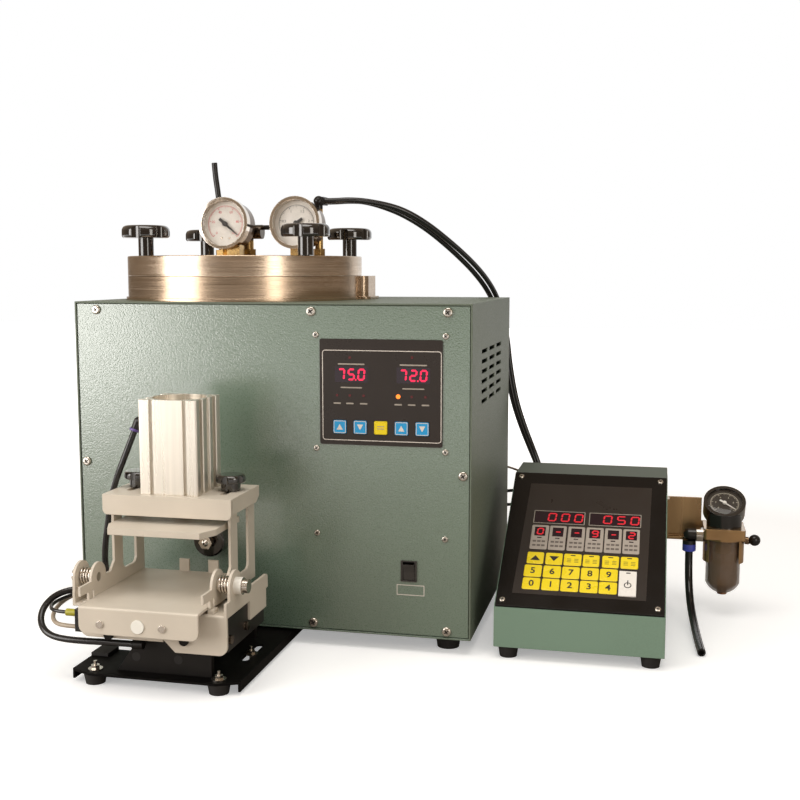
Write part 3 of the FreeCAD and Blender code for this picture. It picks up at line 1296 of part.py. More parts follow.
def carriage_block():
    c = CLAMP_X
    y1 = BEARING_Y0 + BEARING_L
    top = BRACKET_FLOOR_Z - BRACKET_T
    plate_z = top - BLOCK_TOP_T
    wide = BRACKET_HALF_W - BRACKET_T
    bearing = box(c - BEARING_HALF_W, c + BEARING_HALF_W, BEARING_Y0, y1, BEARING_Z0, BEARING_Z1)
    riser = box(c - RISER_HALF_W, c + RISER_HALF_W, BEARING_Y0, y1, BEARING_Z1, plate_z)
    plate = box(c - wide, c + wide, BEARING_Y0, CHEEK_Y0 + CHEEK_L, plate_z, top)
    parts = [bearing, riser, plate]
    for side, front_y, low in ((-1, CHEEK_Y0, CHEEK_Z0), (1, LONG_CHEEK_Y0, LONG_CHEEK_Z0)):
        x0 = c + side * wide
        x1 = x0 - side * CHEEK_T
        parts.append(box(min(x0, x1), max(x0, x1), front_y, CHEEK_Y0 + CHEEK_L, low, plate_z))
    block = one(parts)
    cuts = [rod(slide_point(s * ROD_X, BEARING_Y0 - 1), slide_point(s * ROD_X, y1 + 1), ROD_R + RUN_GAP)
            for s in (-1, 1)]
    front = MOUNT_REAR_Y - AIR_CYL_L
    cuts.append(rod(slide_point(0, front - CARRIAGE_TRAVEL - 2.0), slide_point(0, y1 + 1), AIR_CYL_R + 1.0))
    block = block.cut(cuts)
    piston_y = front + AIR_CAP_T + 1.0
    rod_start = front - CARRIAGE_TRAVEL - 2.0
    air_rod = rod(slide_point(0, rod_start), slide_point(0, piston_y + AIR_PISTON_T), AIR_ROD_R)
    piston = rod(slide_point(0, piston_y), slide_point(0, piston_y + AIR_PISTON_T), AIR_CYL_BORE - RUN_GAP)
    bolts = [rod(Vec(c + wide, y, CHEEK_BOLT_Z), Vec(c + wide + 3.0, y, CHEEK_BOLT_Z), 4.0)
             for y in CHEEK_BOLTS_Y]
    return [block, air_rod.fuse(piston)] + bolts


# ------------------------------------------------------------------ carriage bracket
EAR_OUT = BRACKET_HALF_W
EAR_IN = FRAME_OUT - FRAME_T


def ear_profile(wall_z0, wall_top):
    """Side wall of the carriage bracket in the y-z plane, with its ear."""
    wall = box(0, BRACKET_T, BRACKET_FRONT_Y, BRACKET_WALL_REAR_Y, wall_z0, wall_top)
    wall = rounded(wall, 4.0, lambda e: along(e, X) and near(e.CenterOfMass.y, BRACKET_WALL_REAR_Y)
                   and near(e.CenterOfMass.z, wall_top))
    ear = rod(Vec(0, PIVOT_Y, PIVOT_Z), Vec(BRACKET_T, PIVOT_Y, PIVOT_Z), EAR_R)
    web = prism_x([(PIVOT_Y - EAR_R, wall_z0), (PIVOT_Y + EAR_R, wall_z0), (PIVOT_Y + EAR_R, PIVOT_Z),
                   (PIVOT_Y - EAR_R, PIVOT_Z)], 0, BRACKET_T)
    tab = box(0, BRACKET_T, CHEEK_Y0, CHEEK_Y0 + CHEEK_L, CHEEK_Z0, wall_z0)
    profile = one([wall, ear, web, tab])
    return profile.cut(rod(Vec(-1, PIVOT_Y, PIVOT_Z), Vec(BRACKET_T + 1, PIVOT_Y, PIVOT_Z), PIVOT_R))


def carriage_bracket():
    c = CLAMP_X
    top = BRACKET_FLOOR_Z
    low = top - BRACKET_T
    parts = [box(c - BRACKET_HALF_W, c + BRACKET_HALF_W, BRACKET_FRONT_Y, BRACKET_FLOOR_REAR_Y, low, top)]
    for x in (c - BRACKET_HALF_W, c + BRACKET_HALF_W - BRACKET_T):
        wall = ear_profile(low, top + BRACKET_WALL_TOP)
        wall.translate(X * x)
        parts.append(wall)
    parts.append(apron())
    bracket = one(parts)
    front = lambda e: along(e, X) and near(e.CenterOfMass.y, BRACKET_FRONT_Y) and near(e.CenterOfMass.z,
                                                                                       top)
    bracket = rounded(bracket, BRACKET_T * 0.8, front)
    left = c - BRACKET_HALF_W - 1
    notch = box(left, c - APRON_LEFT, BRACKET_FRONT_Y - 1, NOTCH_Y, low - APRON_DROP, PIVOT_Z)
    bracket = bracket.cut(notch)
    return [bracket] + stop_pads() + [apron_bolt(s) for s in (-1, 1)] + sensor()


def apron():
    c = CLAMP_X
    top = BRACKET_FLOOR_Z - BRACKET_T
    low = BRACKET_FLOOR_Z - LOBE_DROP
    mid = BRACKET_FLOOR_Z - APRON_DROP
    right = c + BRACKET_HALF_W
    x0 = c + LOBE_X0
    left = c - APRON_LEFT
    outline = [(left, top), (left, mid), (x0 - LOBE_CHAMFER, mid),
               (x0 - LOBE_CHAMFER, low + LOBE_CHAMFER), (x0, low), (right, low), (right, top)]
    sheet = prism_y(outline, BRACKET_FRONT_Y, BRACKET_FRONT_Y + BRACKET_T)
    sheet = rounded(sheet, LOBE_ROUND, lambda e: along(e, Y) and near(e.CenterOfMass.x, right)
                    and near(e.CenterOfMass.z, low))
    return rounded(sheet, APRON_ROUND, lambda e: along(e, Y) and near(e.CenterOfMass.x, left)
                   and near(e.CenterOfMass.z, mid))


def apron_bolt(side):
    at = Vec(CLAMP_X + side * APRON_BOLT_X, BRACKET_FRONT_Y, APRON_BOLT_Z)
    return rod(at, at - Y * APRON_BOLT_H, APRON_BOLT_R)


def sensor():
    """Position sensor behind the apron, with its cable gland."""
    y0 = BRACKET_FRONT_Y + BRACKET_T
    face = SENSOR_HOSE[0][0]
    body = box(face, face + SENSOR_W, y0, y0 + SENSOR_D, SENSOR_Z0, SENSOR_Z0 + SENSOR_H)
    lead_x, lead_y, lead_z = SENSOR_LEAD[0]
    return [body, rod(Vec(lead_x, lead_y, lead_z), Vec(face, lead_y, lead_z), GLAND_R)]


def stop_pads():
    z0 = BRACKET_FLOOR_Z
    pads = []
    for side in (-1, 1):
        x = CLAMP_X + side * (EAR_IN + PAD_W / 2)
        pads.append(box(x - PAD_W / 2, x + PAD_W / 2, PAD_Y0, PAD_Y0 + PAD_L, z0, z0 + PAD_H))
    return pads


def pivot_bolts():
    solids = []
    for side in (-1, 1):
        outer = CLAMP_X + side * EAR_OUT
        inner = CLAMP_X + side * (EAR_IN + 0.3)
        pin = rod(Vec(inner, PIVOT_Y, PIVOT_Z), Vec(outer, PIVOT_Y, PIVOT_Z), PIVOT_R)
        sleeve_in = CLAMP_X + side * (FRAME_OUT + FACE_GAP)
        sleeve_out = CLAMP_X + side * (EAR_OUT - BRACKET_T)
        sleeve = rod(Vec(sleeve_in, PIVOT_Y, PIVOT_Z), Vec(sleeve_out, PIVOT_Y, PIVOT_Z), SPRING_SLEEVE_R)
        head_at = outer
        parts = [pin, sleeve]
        if side > 0:
            parts.append(rod(Vec(outer, PIVOT_Y, PIVOT_Z), Vec(outer + BUSH_L, PIVOT_Y, PIVOT_Z), BUSH_R))
            head_at = outer + BUSH_L
        parts.append(rod(Vec(head_at, PIVOT_Y, PIVOT_Z),
                         Vec(head_at + side * BOLT_HEAD_H, PIVOT_Y, PIVOT_Z), BOLT_HEAD_R))
        solids.append(one(parts))
    return solids


def torsion_springs():
    span = EAR_OUT - BRACKET_T - FRAME_OUT
    length = span - 2 * SPRING_WIRE_R - 2 * FACE_GAP - 0.4
    springs = []
    for side in (-1, 1):
        start = CLAMP_X + side * (FRAME_OUT + FACE_GAP + SPRING_WIRE_R + 0.2)
        helix = Part.makeHelix(length / SPRING_TURNS, length, SPRING_R)
        ring = Part.Wire(Part.makeCircle(SPRING_WIRE_R, Vec(SPRING_R, 0, 0), Y))
        coil = Part.Wire(helix).makePipeShell([ring], True, True)
        coil.Placement = FreeCAD.Placement(Vec(start, PIVOT_Y, PIVOT_Z), FreeCAD.Rotation(Z, X * side))
        springs.append(coil)
    return springs


# ------------------------------------------------------------------ cradle
def side_frame(x0):
    z0 = TRAY_TOP_Z - TRAY_T
    y_low = PAD_Y0 + PAD_L + 1.0
    outline = [(FRAME_Y1, z0), (FRAME_Y1, FRAME_TOP_Z), (FRAME_Y0, FRAME_TOP_Z), (FRAME_Y0, NOSE_Z1 + 8.0),
               (FRAME_Y0 - 8.0, NOSE_Z1), (PIVOT_Y, NOSE_Z1), (NOSE_Y, NOSE_Z1), (NOSE_Y, NOSE_Z0),
               (y_low, NOSE_Z0), (y_low, z0)]
    plate = prism_x(outline, x0, x0 + FRAME_T)
    ear = rod(Vec(x0, PIVOT_Y, PIVOT_Z), Vec(x0 + FRAME_T, PIVOT_Y, PIVOT_Z), EAR_CRADLE_R)
    pad_top = BRACKET_FLOOR_Z + PAD_H
    finger = box(x0, x0 + FRAME_T, PAD_Y0 + 1.0, PAD_Y0 + PAD_L - 2.0, pad_top + FACE_GAP, NOSE_Z0)
    plate = one([plate, ear, finger])
    window = box(x0 - 1, x0 + FRAME_T + 1, FRAME_Y0 + FRAME_BAR_W, FRAME_Y1 - FRAME_BAR_W, FRAME_SILL_Z,
                 FRAME_TOP_Z - FRAME_HEAD_H)
    window = rounded(window, 6.0, lambda e: along(e, X))
    return plate.cut([window, rod(Vec(x0 - 1, PIVOT_Y, PIVOT_Z), Vec(x0 + FRAME_T + 1, PIVOT_Y, PIVOT_Z),
                                  PIVOT_R + RUN_GAP)])


def mold_tray():
    c = CLAMP_X
    z0 = TRAY_TOP_Z - TRAY_T
    y_relief = PAD_Y0 + PAD_L + 1.0
    floor = box(c - FRAME_OUT, c + FRAME_OUT, y_relief, TRAY_REAR_Y, z0, TRAY_TOP_Z)
    lip_w = EAR_IN - FACE_GAP
    nose_floor = box(c - lip_w, c + lip_w, TRAY_FRONT_Y, y_relief, z0, TRAY_TOP_Z)
    lip = box(c - lip_w, c + lip_w, TRAY_FRONT_Y, TRAY_FRONT_Y + TRAY_T, TRAY_TOP_Z - LIP_H, TRAY_TOP_Z)
    lip = rounded(lip, LIP_ROUND, lambda e: along(e, Y) and near(e.CenterOfMass.z, TRAY_TOP_Z - LIP_H))
    parts = [floor, nose_floor, lip]
    for x0 in (c - FRAME_OUT, c + FRAME_OUT - FRAME_T):
        parts.append(side_frame(x0))
    for side in (-1, 1):
        x = c + TAB_SHIFT + side * TAB_OFFSET
        parts.append(box(x - TAB_W / 2, x + TAB_W / 2, TRAY_REAR_Y - TRAY_T, TRAY_REAR_Y, z0,
                         TRAY_TOP_Z + TAB_H))
        parts.append(frame_flange(side))
    tray = one(parts)
    holes = [thumb_rod(s, FRAME_TOP_Z - FRAME_FLANGE_T - 1, FRAME_TOP_Z + 1, THUMB_STUD_R + RUN_GAP)
             for s in (-1, 1)]
    tray = tray.cut(holes)
    front = lambda e: along(e, X) and near(e.CenterOfMass.y, TRAY_FRONT_Y) and near(e.CenterOfMass.z,
                                                                                    TRAY_TOP_Z)
    tray = rounded(tray, TRAY_BEND, front)
    return [tray] + lip_trim()


def frame_flange(side):
    inner = CLAMP_X + side * FRAME_FLANGE_IN
    outer = CLAMP_X + side * FRAME_OUT
    return box(min(inner, outer), max(inner, outer), FRAME_Y0, FRAME_Y1, FRAME_TOP_Z - FRAME_FLANGE_T,
               FRAME_TOP_Z)


def lip_trim():
    y = TRAY_FRONT_Y
    x0 = CLAMP_X + LIP_BLOCK_X0
    x1 = CLAMP_X + LIP_BLOCK_X1
    back = y + TRAY_T
    solids = [box(x0, x1, back, back + LIP_BLOCK_D, LIP_BLOCK_Z0, LIP_BLOCK_Z0 + LIP_BLOCK_H)]
    for x in LIP_SCREW_X:
        solids.append(rod(Vec(CLAMP_X + x, y, LIP_SCREW_Z), Vec(CLAMP_X + x, y - LIP_SCREW_T, LIP_SCREW_Z),
                          LIP_SCREW_R))
    solids.append(rod(Vec(CLAMP_X, y, LIP_SCREW_Z), Vec(CLAMP_X, y - LIP_DISC_T, LIP_SCREW_Z), LIP_DISC_R))
    return solids


# ------------------------------------------------------------------ top plate, cylinder, press plate
PLATE_Z0 = FRAME_TOP_Z + PLATE_GAP
PLATE_Z1 = PLATE_Z0 + PLATE_T


def thumb_rod(side, z0, z1, radius):
    x = CLAMP_X + side * THUMB_X
    return rod(Vec(x, THUMB_Y, z0), Vec(x, THUMB_Y, z1), radius)


def top_plate():
    c = CLAMP_X
    w = PLATE_HALF_W
    top = PLATE_Z1
    parts = [box(c - w, c + w, PLATE_Y0, PLATE_Y1, PLATE_Z0, top)]
    lip = box(c - w, c + w, PLATE_Y0, PLATE_Y0 + PLATE_T, top - PLATE_LIP_H, top)
    parts.append(rounded(lip, PLATE_ROUND, lambda e: along(e, Y)
                         and near(e.CenterOfMass.z, top - PLATE_LIP_H)))
    for x0 in (c - w, c + w - PLATE_T):
        low = top - PLATE_SIDE_LIP_H
        y0 = PLATE_Y0 + PLATE_T + 1.5
        outline = [(y0, top), (y0, low), (PLATE_Y1 - 8.0, low), (PLATE_Y1, low + 5.0), (PLATE_Y1, top)]
        parts.append(prism_x(outline, x0, x0 + PLATE_T))
    plate = one(parts)
    cuts = [slot_cut(c + s * THUMB_X, SLOT_Y0 + SLOT_L / 2, SLOT_L, SLOT_W, PLATE_Z0 - 1, top + 1)
            for s in (-1, 1)]
    cuts.append(rod(Vec(c, BARREL_Y, PLATE_Z0 - 1), Vec(c, BARREL_Y, top + 1), PISTON_ROD_R + 1.0))
    return [plate.cut(cuts)]


def barrel_rod(z0, z1, radius):
    return rod(Vec(CLAMP_X, BARREL_Y, z0), Vec(CLAMP_X, BARREL_Y, z1), radius)


def barrel_outline():
    """Half of the extrusion's section, from its front to its rear on the right."""
    h = BARREL_W / 2
    points = [(0.0, -h), (h, -h)]
    for y0, y1, depth in FLUTES:
        points += [(h, y0), (h - depth, y0), (h - depth, y1), (h, y1)]
    return points + [(h, h), (0.0, h)]


def cylinder_barrel():
    c = CLAMP_X
    h = BARREL_W / 2
    z0 = PLATE_Z1
    z1 = z0 + BARREL_H
    halves = [prism_z([(c + s * x, BARREL_Y + y) for x, y in barrel_outline()], z0, z1) for s in (-1, 1)]
    ribs = lambda e: along(e, Z) and near(abs(e.CenterOfMass.x - c), h)
    body = rounded(one(halves), RIB_ROUND, ribs)
    grooves = []
    for g in GROOVE_OFFSETS:
        for s in (-1, 1):
            y = BARREL_Y + s * h
            grooves.append(box(c + g - GROOVE_W / 2, c + g + GROOVE_W / 2, y - GROOVE_D, y + GROOVE_D,
                               z0 - 1, z1 + 1))
    body = body.cut(grooves)
    body = body.cut(barrel_rod(z0 + BARREL_FLOOR_T, z1 + 1, BARREL_BORE))
    body = body.cut(barrel_rod(z0 - 1, z0 + BARREL_FLOOR_T + 1, PISTON_ROD_R + RUN_GAP))
    cap_top = z1 - BARREL_CAP_IN
    cap = barrel_rod(cap_top - BARREL_CAP_T, cap_top, BARREL_BORE)
    return [body, cap, barrel_union()]


def barrel_union():
    """Elbow on the barrel's left face; the air hose leaves its lower end."""
    start = Vec(*CLAMP_SUPPLY[0])
    slope = (start - Vec(*CLAMP_SUPPLY[1])).normalize()
    knee = start + slope * UNION_L
    side = Vec(CLAMP_X - BARREL_W / 2, knee.y, knee.z)
    drop = rod(start, knee, UNION_R - 1.2)
    return one([drop, Part.makeSphere(UNION_R - 1.2, knee), rod(knee, side, UNION_R - 1.2)])


def press_plate():
    c = CLAMP_X
    z1 = PRESS_TOP_Z
    y_wide = PRESS_FRONT_Y + PRESS_TAPER
    outline = [(c - PRESS_FRONT_HALF, PRESS_FRONT_Y), (c + PRESS_FRONT_HALF, PRESS_FRONT_Y),
               (c + PRESS_HALF, y_wide),
               (c + PRESS_HALF, PRESS_REAR_Y), (c - PRESS_HALF, PRESS_REAR_Y), (c - PRESS_HALF, y_wide)]
    plate = prism_z(outline, z1 - PRESS_T, z1)
    piston_z = PLATE_Z1 + PISTON_TOP
    piston = barrel_rod(piston_z - PISTON_T, piston_z, BARREL_BORE - RUN_GAP)
    shaft = barrel_rod(z1, piston_z - PISTON_T, PISTON_ROD_R)
    return [one([plate, piston, shaft])]


def thumb_knob(side):
    hub_z = PLATE_Z1 + FACE_GAP
    head_z = hub_z + THUMB_HUB_H
    centre = Vec(CLAMP_X + side * THUMB_X, THUMB_Y, 0)
    hub = thumb_rod(side, hub_z, head_z, THUMB_HUB_R)
    head = lobed_knob(centre, head_z, head_z + THUMB_HEAD_H, THUMB_HEAD_R, THUMB_LOBES,
                      THUMB_SCALLOP_R, THUMB_SCALLOP_OUT)
    stud = thumb_rod(side, FRAME_TOP_Z - FRAME_FLANGE_T - 4.0, hub_z, THUMB_STUD_R)
    return [one([hub, head, stud])]


# ------------------------------------------------------------------ controller
SLOPE_RISE = CTRL_REAR_H - CTRL_FRONT_H
SLOPE_L = math.hypot(CTRL_SLOPE_D, SLOPE_RISE)
SLOPE_ANGLE = math.degrees(math.atan2(SLOPE_RISE, CTRL_SLOPE_D))
CTRL_Z0 = CTRL_FOOT_H


def slope_place(x, s, lift):
    """Place on the sloping face: x across, s up the slope, lift off it; +z is the face's normal."""
    turn = FreeCAD.Rotation(X, SLOPE_ANGLE)
    foot_point = Vec(CTRL_X, CTRL_Y, CTRL_Z0 + CTRL_FRONT_H)
    return FreeCAD.Placement(foot_point + turn.multVec(Vec(x, s, lift)), turn)


def on_slope(x0, x1, s0, s1, h0, h1):
    plate = Part.makeBox(x1 - x0, s1 - s0, h1 - h0)
    plate.Placement = slope_place(x0, s0, h0)
    return plate


def face_screws():
    top = SLOPE_L - FACE_SCREW_S
    return [(x, s) for x in (FACE_SCREW_X, CTRL_W - FACE_SCREW_X) for s in (FACE_SCREW_S, top)]


def controller_outline(inset):
    y0 = CTRL_Y + inset
    y1 = CTRL_Y + CTRL_D - inset
    z0 = CTRL_Z0 + inset
    z1 = CTRL_Z0 + CTRL_REAR_H - inset
    bend = inset * math.tan(math.radians(SLOPE_ANGLE) / 2)
    rise = inset * math.tan(math.radians(90.0 - SLOPE_ANGLE) / 2)
    front = CTRL_Z0 + CTRL_FRONT_H - rise
    return [(y0, z0), (y0, front), (CTRL_Y + CTRL_SLOPE_D + bend, z1), (y1, z1), (y1, z0)]


def controller_case():
    outer = prism_x(controller_outline(0.0), CTRL_X, CTRL_X + CTRL_W)
    room = prism_x(controller_outline(CTRL_SHEET), CTRL_X + CTRL_SHEET, CTRL_X + CTRL_W - CTRL_SHEET)
    case = outer.cut(room)
    cuts = []
    for x, s in face_screws():
        hole = rod(Z * -8, Z * 8, SMALL_SHANK_R + SCREW_GAP)
        hole.Placement = slope_place(x, s, 0.0)
        cuts.append(hole)
    cuts.append(start_opening(FACE_GAP))
    cuts += union_holes(CTRL_Y + CTRL_D)
    return [case.cut(cuts)]


def start_opening(gap):
    return on_slope(START_X - START_W / 2 - gap, START_X + START_W / 2 + gap,
                    START_S - START_H / 2 - gap, START_S + START_H / 2 + gap, -CTRL_SHEET - 2, FACE_T + 2)


def controller_panel():
    m = FACE_MARGIN
    face = on_slope(m, CTRL_W - m, m, SLOPE_L - m, 0.0, FACE_T)
    cuts = [start_opening(FACE_GAP)]
    for x, s in face_screws():
        hole = rod(Z * -8, Z * 8, SMALL_SHANK_R + SCREW_GAP)
        hole.Placement = slope_place(x, s, 0.0)
        cuts.append(hole)
    return [face.cut(cuts)]


def start_key():
    back = -CTRL_SHEET - FACE_GAP
    cap = on_slope(START_X - START_W / 2, START_X + START_W / 2, START_S - START_H / 2,
                   START_S + START_H / 2, back, FACE_T + START_PROUD)
    flange = on_slope(START_X - START_W / 2 - 1.2, START_X + START_W / 2 + 1.2,
                      START_S - START_H / 2 - 1.2, START_S + START_H / 2 + 1.2, back - 1.0, back)
    return [cap.fuse(flange)]


def controller_board():
    m = CTRL_BOARD_MARGIN
    d = CTRL_BOARD_DROP
    board = on_slope(m, CTRL_W - m, m + 14.0, SLOPE_L - m, -d - BOARD_T, -d)
    solids = [board]
    for x in (m + 6, CTRL_W - m - 6):
        for s in (m + 20.0, SLOPE_L - m - 6):
            post = rod(Z * -d, Z * -CTRL_SHEET, CTRL_POST_R)
            post.Placement = slope_place(x, s, 0.0).multiply(post.Placement)
            solids.append(post)
    top = -CTRL_SHEET - FACE_GAP - 1.0 - START_TRAVEL - 0.1
    solids.append(on_slope(START_X - 3.5, START_X + 3.5, START_S - 3.5, START_S + 3.5, -d, top))
    return solids


# ------------------------------------------------------------------ filter-regulator
REG_PLATE_Y = REG_Y + REG_BODY_D / 2


def regulator_bracket():
    x0 = CTRL_X + CTRL_W
    x1 = REG_X + REG_W / 2
    y0 = REG_PLATE_Y
    plate = box(x0, REG_PLATE_X1, y0, y0 + REG_PLATE_T, REG_PLATE_Z0, REG_PLATE_Z1)
    tongue = box(x0, x1, y0, y0 + REG_PLATE_T, REG_PLATE_Z0, REG_TONGUE_Z1)
    foot_plate = box(x0, x0 + REG_PLATE_T, y0 - REG_PLATE_OVERLAP, y0, REG_PLATE_Z0, REG_PLATE_Z1)
    lower = box(x0, REG_PLATE_X1 - REG_NUT_R, y0 - 8.0, y0, REG_PLATE_Z0 - REG_PLATE_T, REG_PLATE_Z0)
    rest = box(x0, REG_PLATE_X1 - REG_NUT_R, y0, y0 + REG_PLATE_T, REG_PLATE_Z0 - REG_PLATE_T, REG_PLATE_Z0)
    return [one([plate, tongue, foot_plate, lower, rest])]


def reg_rod(z0, z1, radius):
    return rod(Vec(REG_X, REG_Y, z0), Vec(REG_X, REG_Y, z1), radius)


def regulator_body():
    x0 = REG_X - REG_W / 2
    x1 = REG_X + REG_W / 2
    block = box(x0, x1, REG_Y - REG_BODY_D / 2, REG_Y + REG_BODY_D / 2, REG_BODY_Z0, REG_BODY_Z1)
    block = rounded(block, 3.0, lambda e: along(e, Z)).cut(gauge_room(0.0))
    neck = reg_rod(REG_BODY_Z1, REG_GAUGE_Z - 8.0, REG_W / 2 - 3.0).cut(gauge_room(0.0))
    lowest = min(neck.Solids, key=lambda solid: solid.CenterOfMass.z)
    body = one([block, lowest])
    spindle = rod(Vec(x1 - REG_GUARD_WALL, REG_Y, LEVER_Z), Vec(x1 + LEVER_SPINDLE_L, REG_Y, LEVER_Z),
                  LEVER_R)
    guard = reg_rod(REG_GUARD_Z0, REG_BODY_Z0, REG_GUARD_R).cut(reg_rod(REG_GUARD_Z0, REG_BODY_Z0,
                                                                        REG_GUARD_R - REG_GUARD_WALL))
    w = REG_GUARD_WINDOW / 2
    guard = guard.cut(box(REG_X - w, REG_X + w, REG_Y - REG_W, REG_Y + REG_W, REG_GUARD_Z0 - 1,
                          REG_BODY_Z0 - REG_GUARD_WALL))
    body = one([body, guard])
    stem_z = REG_BODY_Z0 - REG_ELEMENT_L
    filter_element = one([reg_rod(stem_z, REG_BODY_Z0, REG_ELEMENT_R),
                          reg_rod(stem_z - REG_STEM_L, stem_z, REG_STEM_R),
                          reg_rod(stem_z - REG_STEM_L, stem_z - REG_STEM_L + REG_BAFFLE_T, REG_BAFFLE_R)])
    nut = rod(Vec(x0 - REG_NUT_L, REG_Y, REG_ELBOW_Z), Vec(x0, REG_Y, REG_ELBOW_Z), REG_NUT_R)
    nut = nut.common(box(x0 - REG_NUT_L, x0, REG_Y - 9.0, REG_Y + 9.0, REG_ELBOW_Z - REG_ELBOW_R,
                         REG_ELBOW_Z + REG_ELBOW_R))
    elbow = rod(Vec(REG_ELBOW_X, REG_Y, REG_ELBOW_Z), Vec(x0 - REG_NUT_L, REG_Y, REG_ELBOW_Z), REG_ELBOW_R)
    knee = Part.makeSphere(REG_ELBOW_R, Vec(REG_ELBOW_X, REG_Y, REG_ELBOW_Z))
    socket_z = SUPPLY_HOSE[0][2]
    ring = rod(Vec(REG_ELBOW_X, REG_Y, socket_z), Vec(REG_ELBOW_X, REG_Y, REG_ELBOW_Z - REG_ELBOW_R),
               REG_RING_R)
    return [body.fuse(spindle), filter_element, nut, one([elbow, knee]), ring]


def regulator_place():
    """Local +z is the dial's normal: to the front and up."""
    turn = FreeCAD.Rotation(X, 90.0 - REG_GAUGE_TILT)
    return FreeCAD.Placement(Vec(REG_X, REG_Y, REG_GAUGE_Z), turn)


def gauge_room(grow):
    return placed(rod(Z * -REG_GAUGE_T, Z * 4, REG_GAUGE_R + grow), regulator_place())


def regulator_gauge():
    case = rod(Z * -REG_GAUGE_T, Z * 0, REG_GAUGE_R)
    case = case.cut(rod(Z * -REG_DIAL_DEPTH, Z * 1, REG_DIAL_R))
    spindle = rod(Z * -REG_DIAL_DEPTH, Z * (-REG_DIAL_DEPTH + 1.8), NEEDLE_SPINDLE_R)
    return [placed(case.fuse(spindle), regulator_place())]


def regulator_needle():
    z0 = -REG_DIAL_DEPTH + 0.4
    hub = rod(Z * z0, Z * (z0 + 2.0), 2.0)
    blade = prism_z([(-6.0, -1.0), (-6.0, 1.0), (14.0, 0.3), (14.0, -0.3)], z0 + 0.5, z0 + 1.1)
    needle = hub.fuse(blade).cut(rod(Z * (z0 - 1), Z * (z0 + 1.6), NEEDLE_SPINDLE_R + RUN_GAP))
    needle.rotate(Vec(0, 0, 0), Z, -38.0)
    return [placed(needle, regulator_place())]


def domed_rod(radius, z1, shrink):
    """The bowl's rod with its rounded lower end, or the room in it when shrink is its wall."""
    dome_r = (REG_BOWL_R ** 2 + REG_DOME_H ** 2) / (2 * REG_DOME_H)
    low = REG_BOWL_Z0 + REG_DOME_H
    ball = Part.makeSphere(dome_r - shrink, Vec(REG_X, REG_Y, REG_BOWL_Z0 + dome_r))
    return reg_rod(REG_BOWL_Z0, low, radius).common(ball).fuse(reg_rod(low, z1, radius)).removeSplitter()


def regulator_bowl():
    bowl = domed_rod(REG_BOWL_R, REG_BODY_Z0, 0.0)
    bowl = bowl.cut(domed_rod(REG_BOWL_R - REG_BOWL_WALL, REG_BODY_Z0 + 1, REG_BOWL_WALL))
    z0 = REG_BOWL_Z0 - REG_DRAIN_H
    drain = reg_rod(z0, REG_BOWL_Z0 + REG_DRAIN_IN, REG_DRAIN_R)
    return [bowl.cut(drain), drain]


def regulator_lever():
    """Shut-off lever: a collar on its spindle, an arm and a ball."""
    x0 = REG_X + REG_W / 2 + FACE_GAP
    x1 = x0 + LEVER_COLLAR_L
    axis_from = Vec(x0, REG_Y, LEVER_Z)
    axis_to = Vec(x1, REG_Y, LEVER_Z)
    collar = pipe(axis_from, axis_to, LEVER_R + LEVER_COLLAR_T, LEVER_R + RUN_GAP)
    ball_at = Vec(REG_X + LEVER_BALL_X, REG_Y, LEVER_Z + LEVER_BALL_RISE)
    knee = Vec(x1 - LEVER_ARM_R, REG_Y, LEVER_Z - LEVER_R - LEVER_ARM_R - FACE_GAP)
    arm = rod(knee, ball_at, LEVER_ARM_R)
    return [one([collar, arm, Part.makeSphere(LEVER_BALL_R, ball_at)])]


# ------------------------------------------------------------------ hoses
def lid_hoses():
    return [tube("lid_hose_a", LID_HOSE_A, LID_HOSE_R), tube("lid_hose_b", LID_HOSE_B, LID_HOSE_R)]


def clamp_hoses():
    return [tube("clamp_loop", CLAMP_LOOP, CLAMP_LOOP_R), tube("clamp_supply", CLAMP_SUPPLY, HOSE_R),
            tube("sensor_hose", SENSOR_HOSE, SENSOR_HOSE_R), tube("sensor_lead", SENSOR_LEAD,
                                                                  SENSOR_LEAD_R)]


def link_hoses():
    return [tube("link_top", LINK_HOSE_TOP, LINK_HOSE_R), tube("link_low", LINK_HOSE_LOW, LINK_HOSE_R),
            tube("link_wire", LINK_WIRE, LINK_WIRE_R)]


def supply_hose():
    return [tube("supply_hose", SUPPLY_HOSE, SUPPLY_R)]


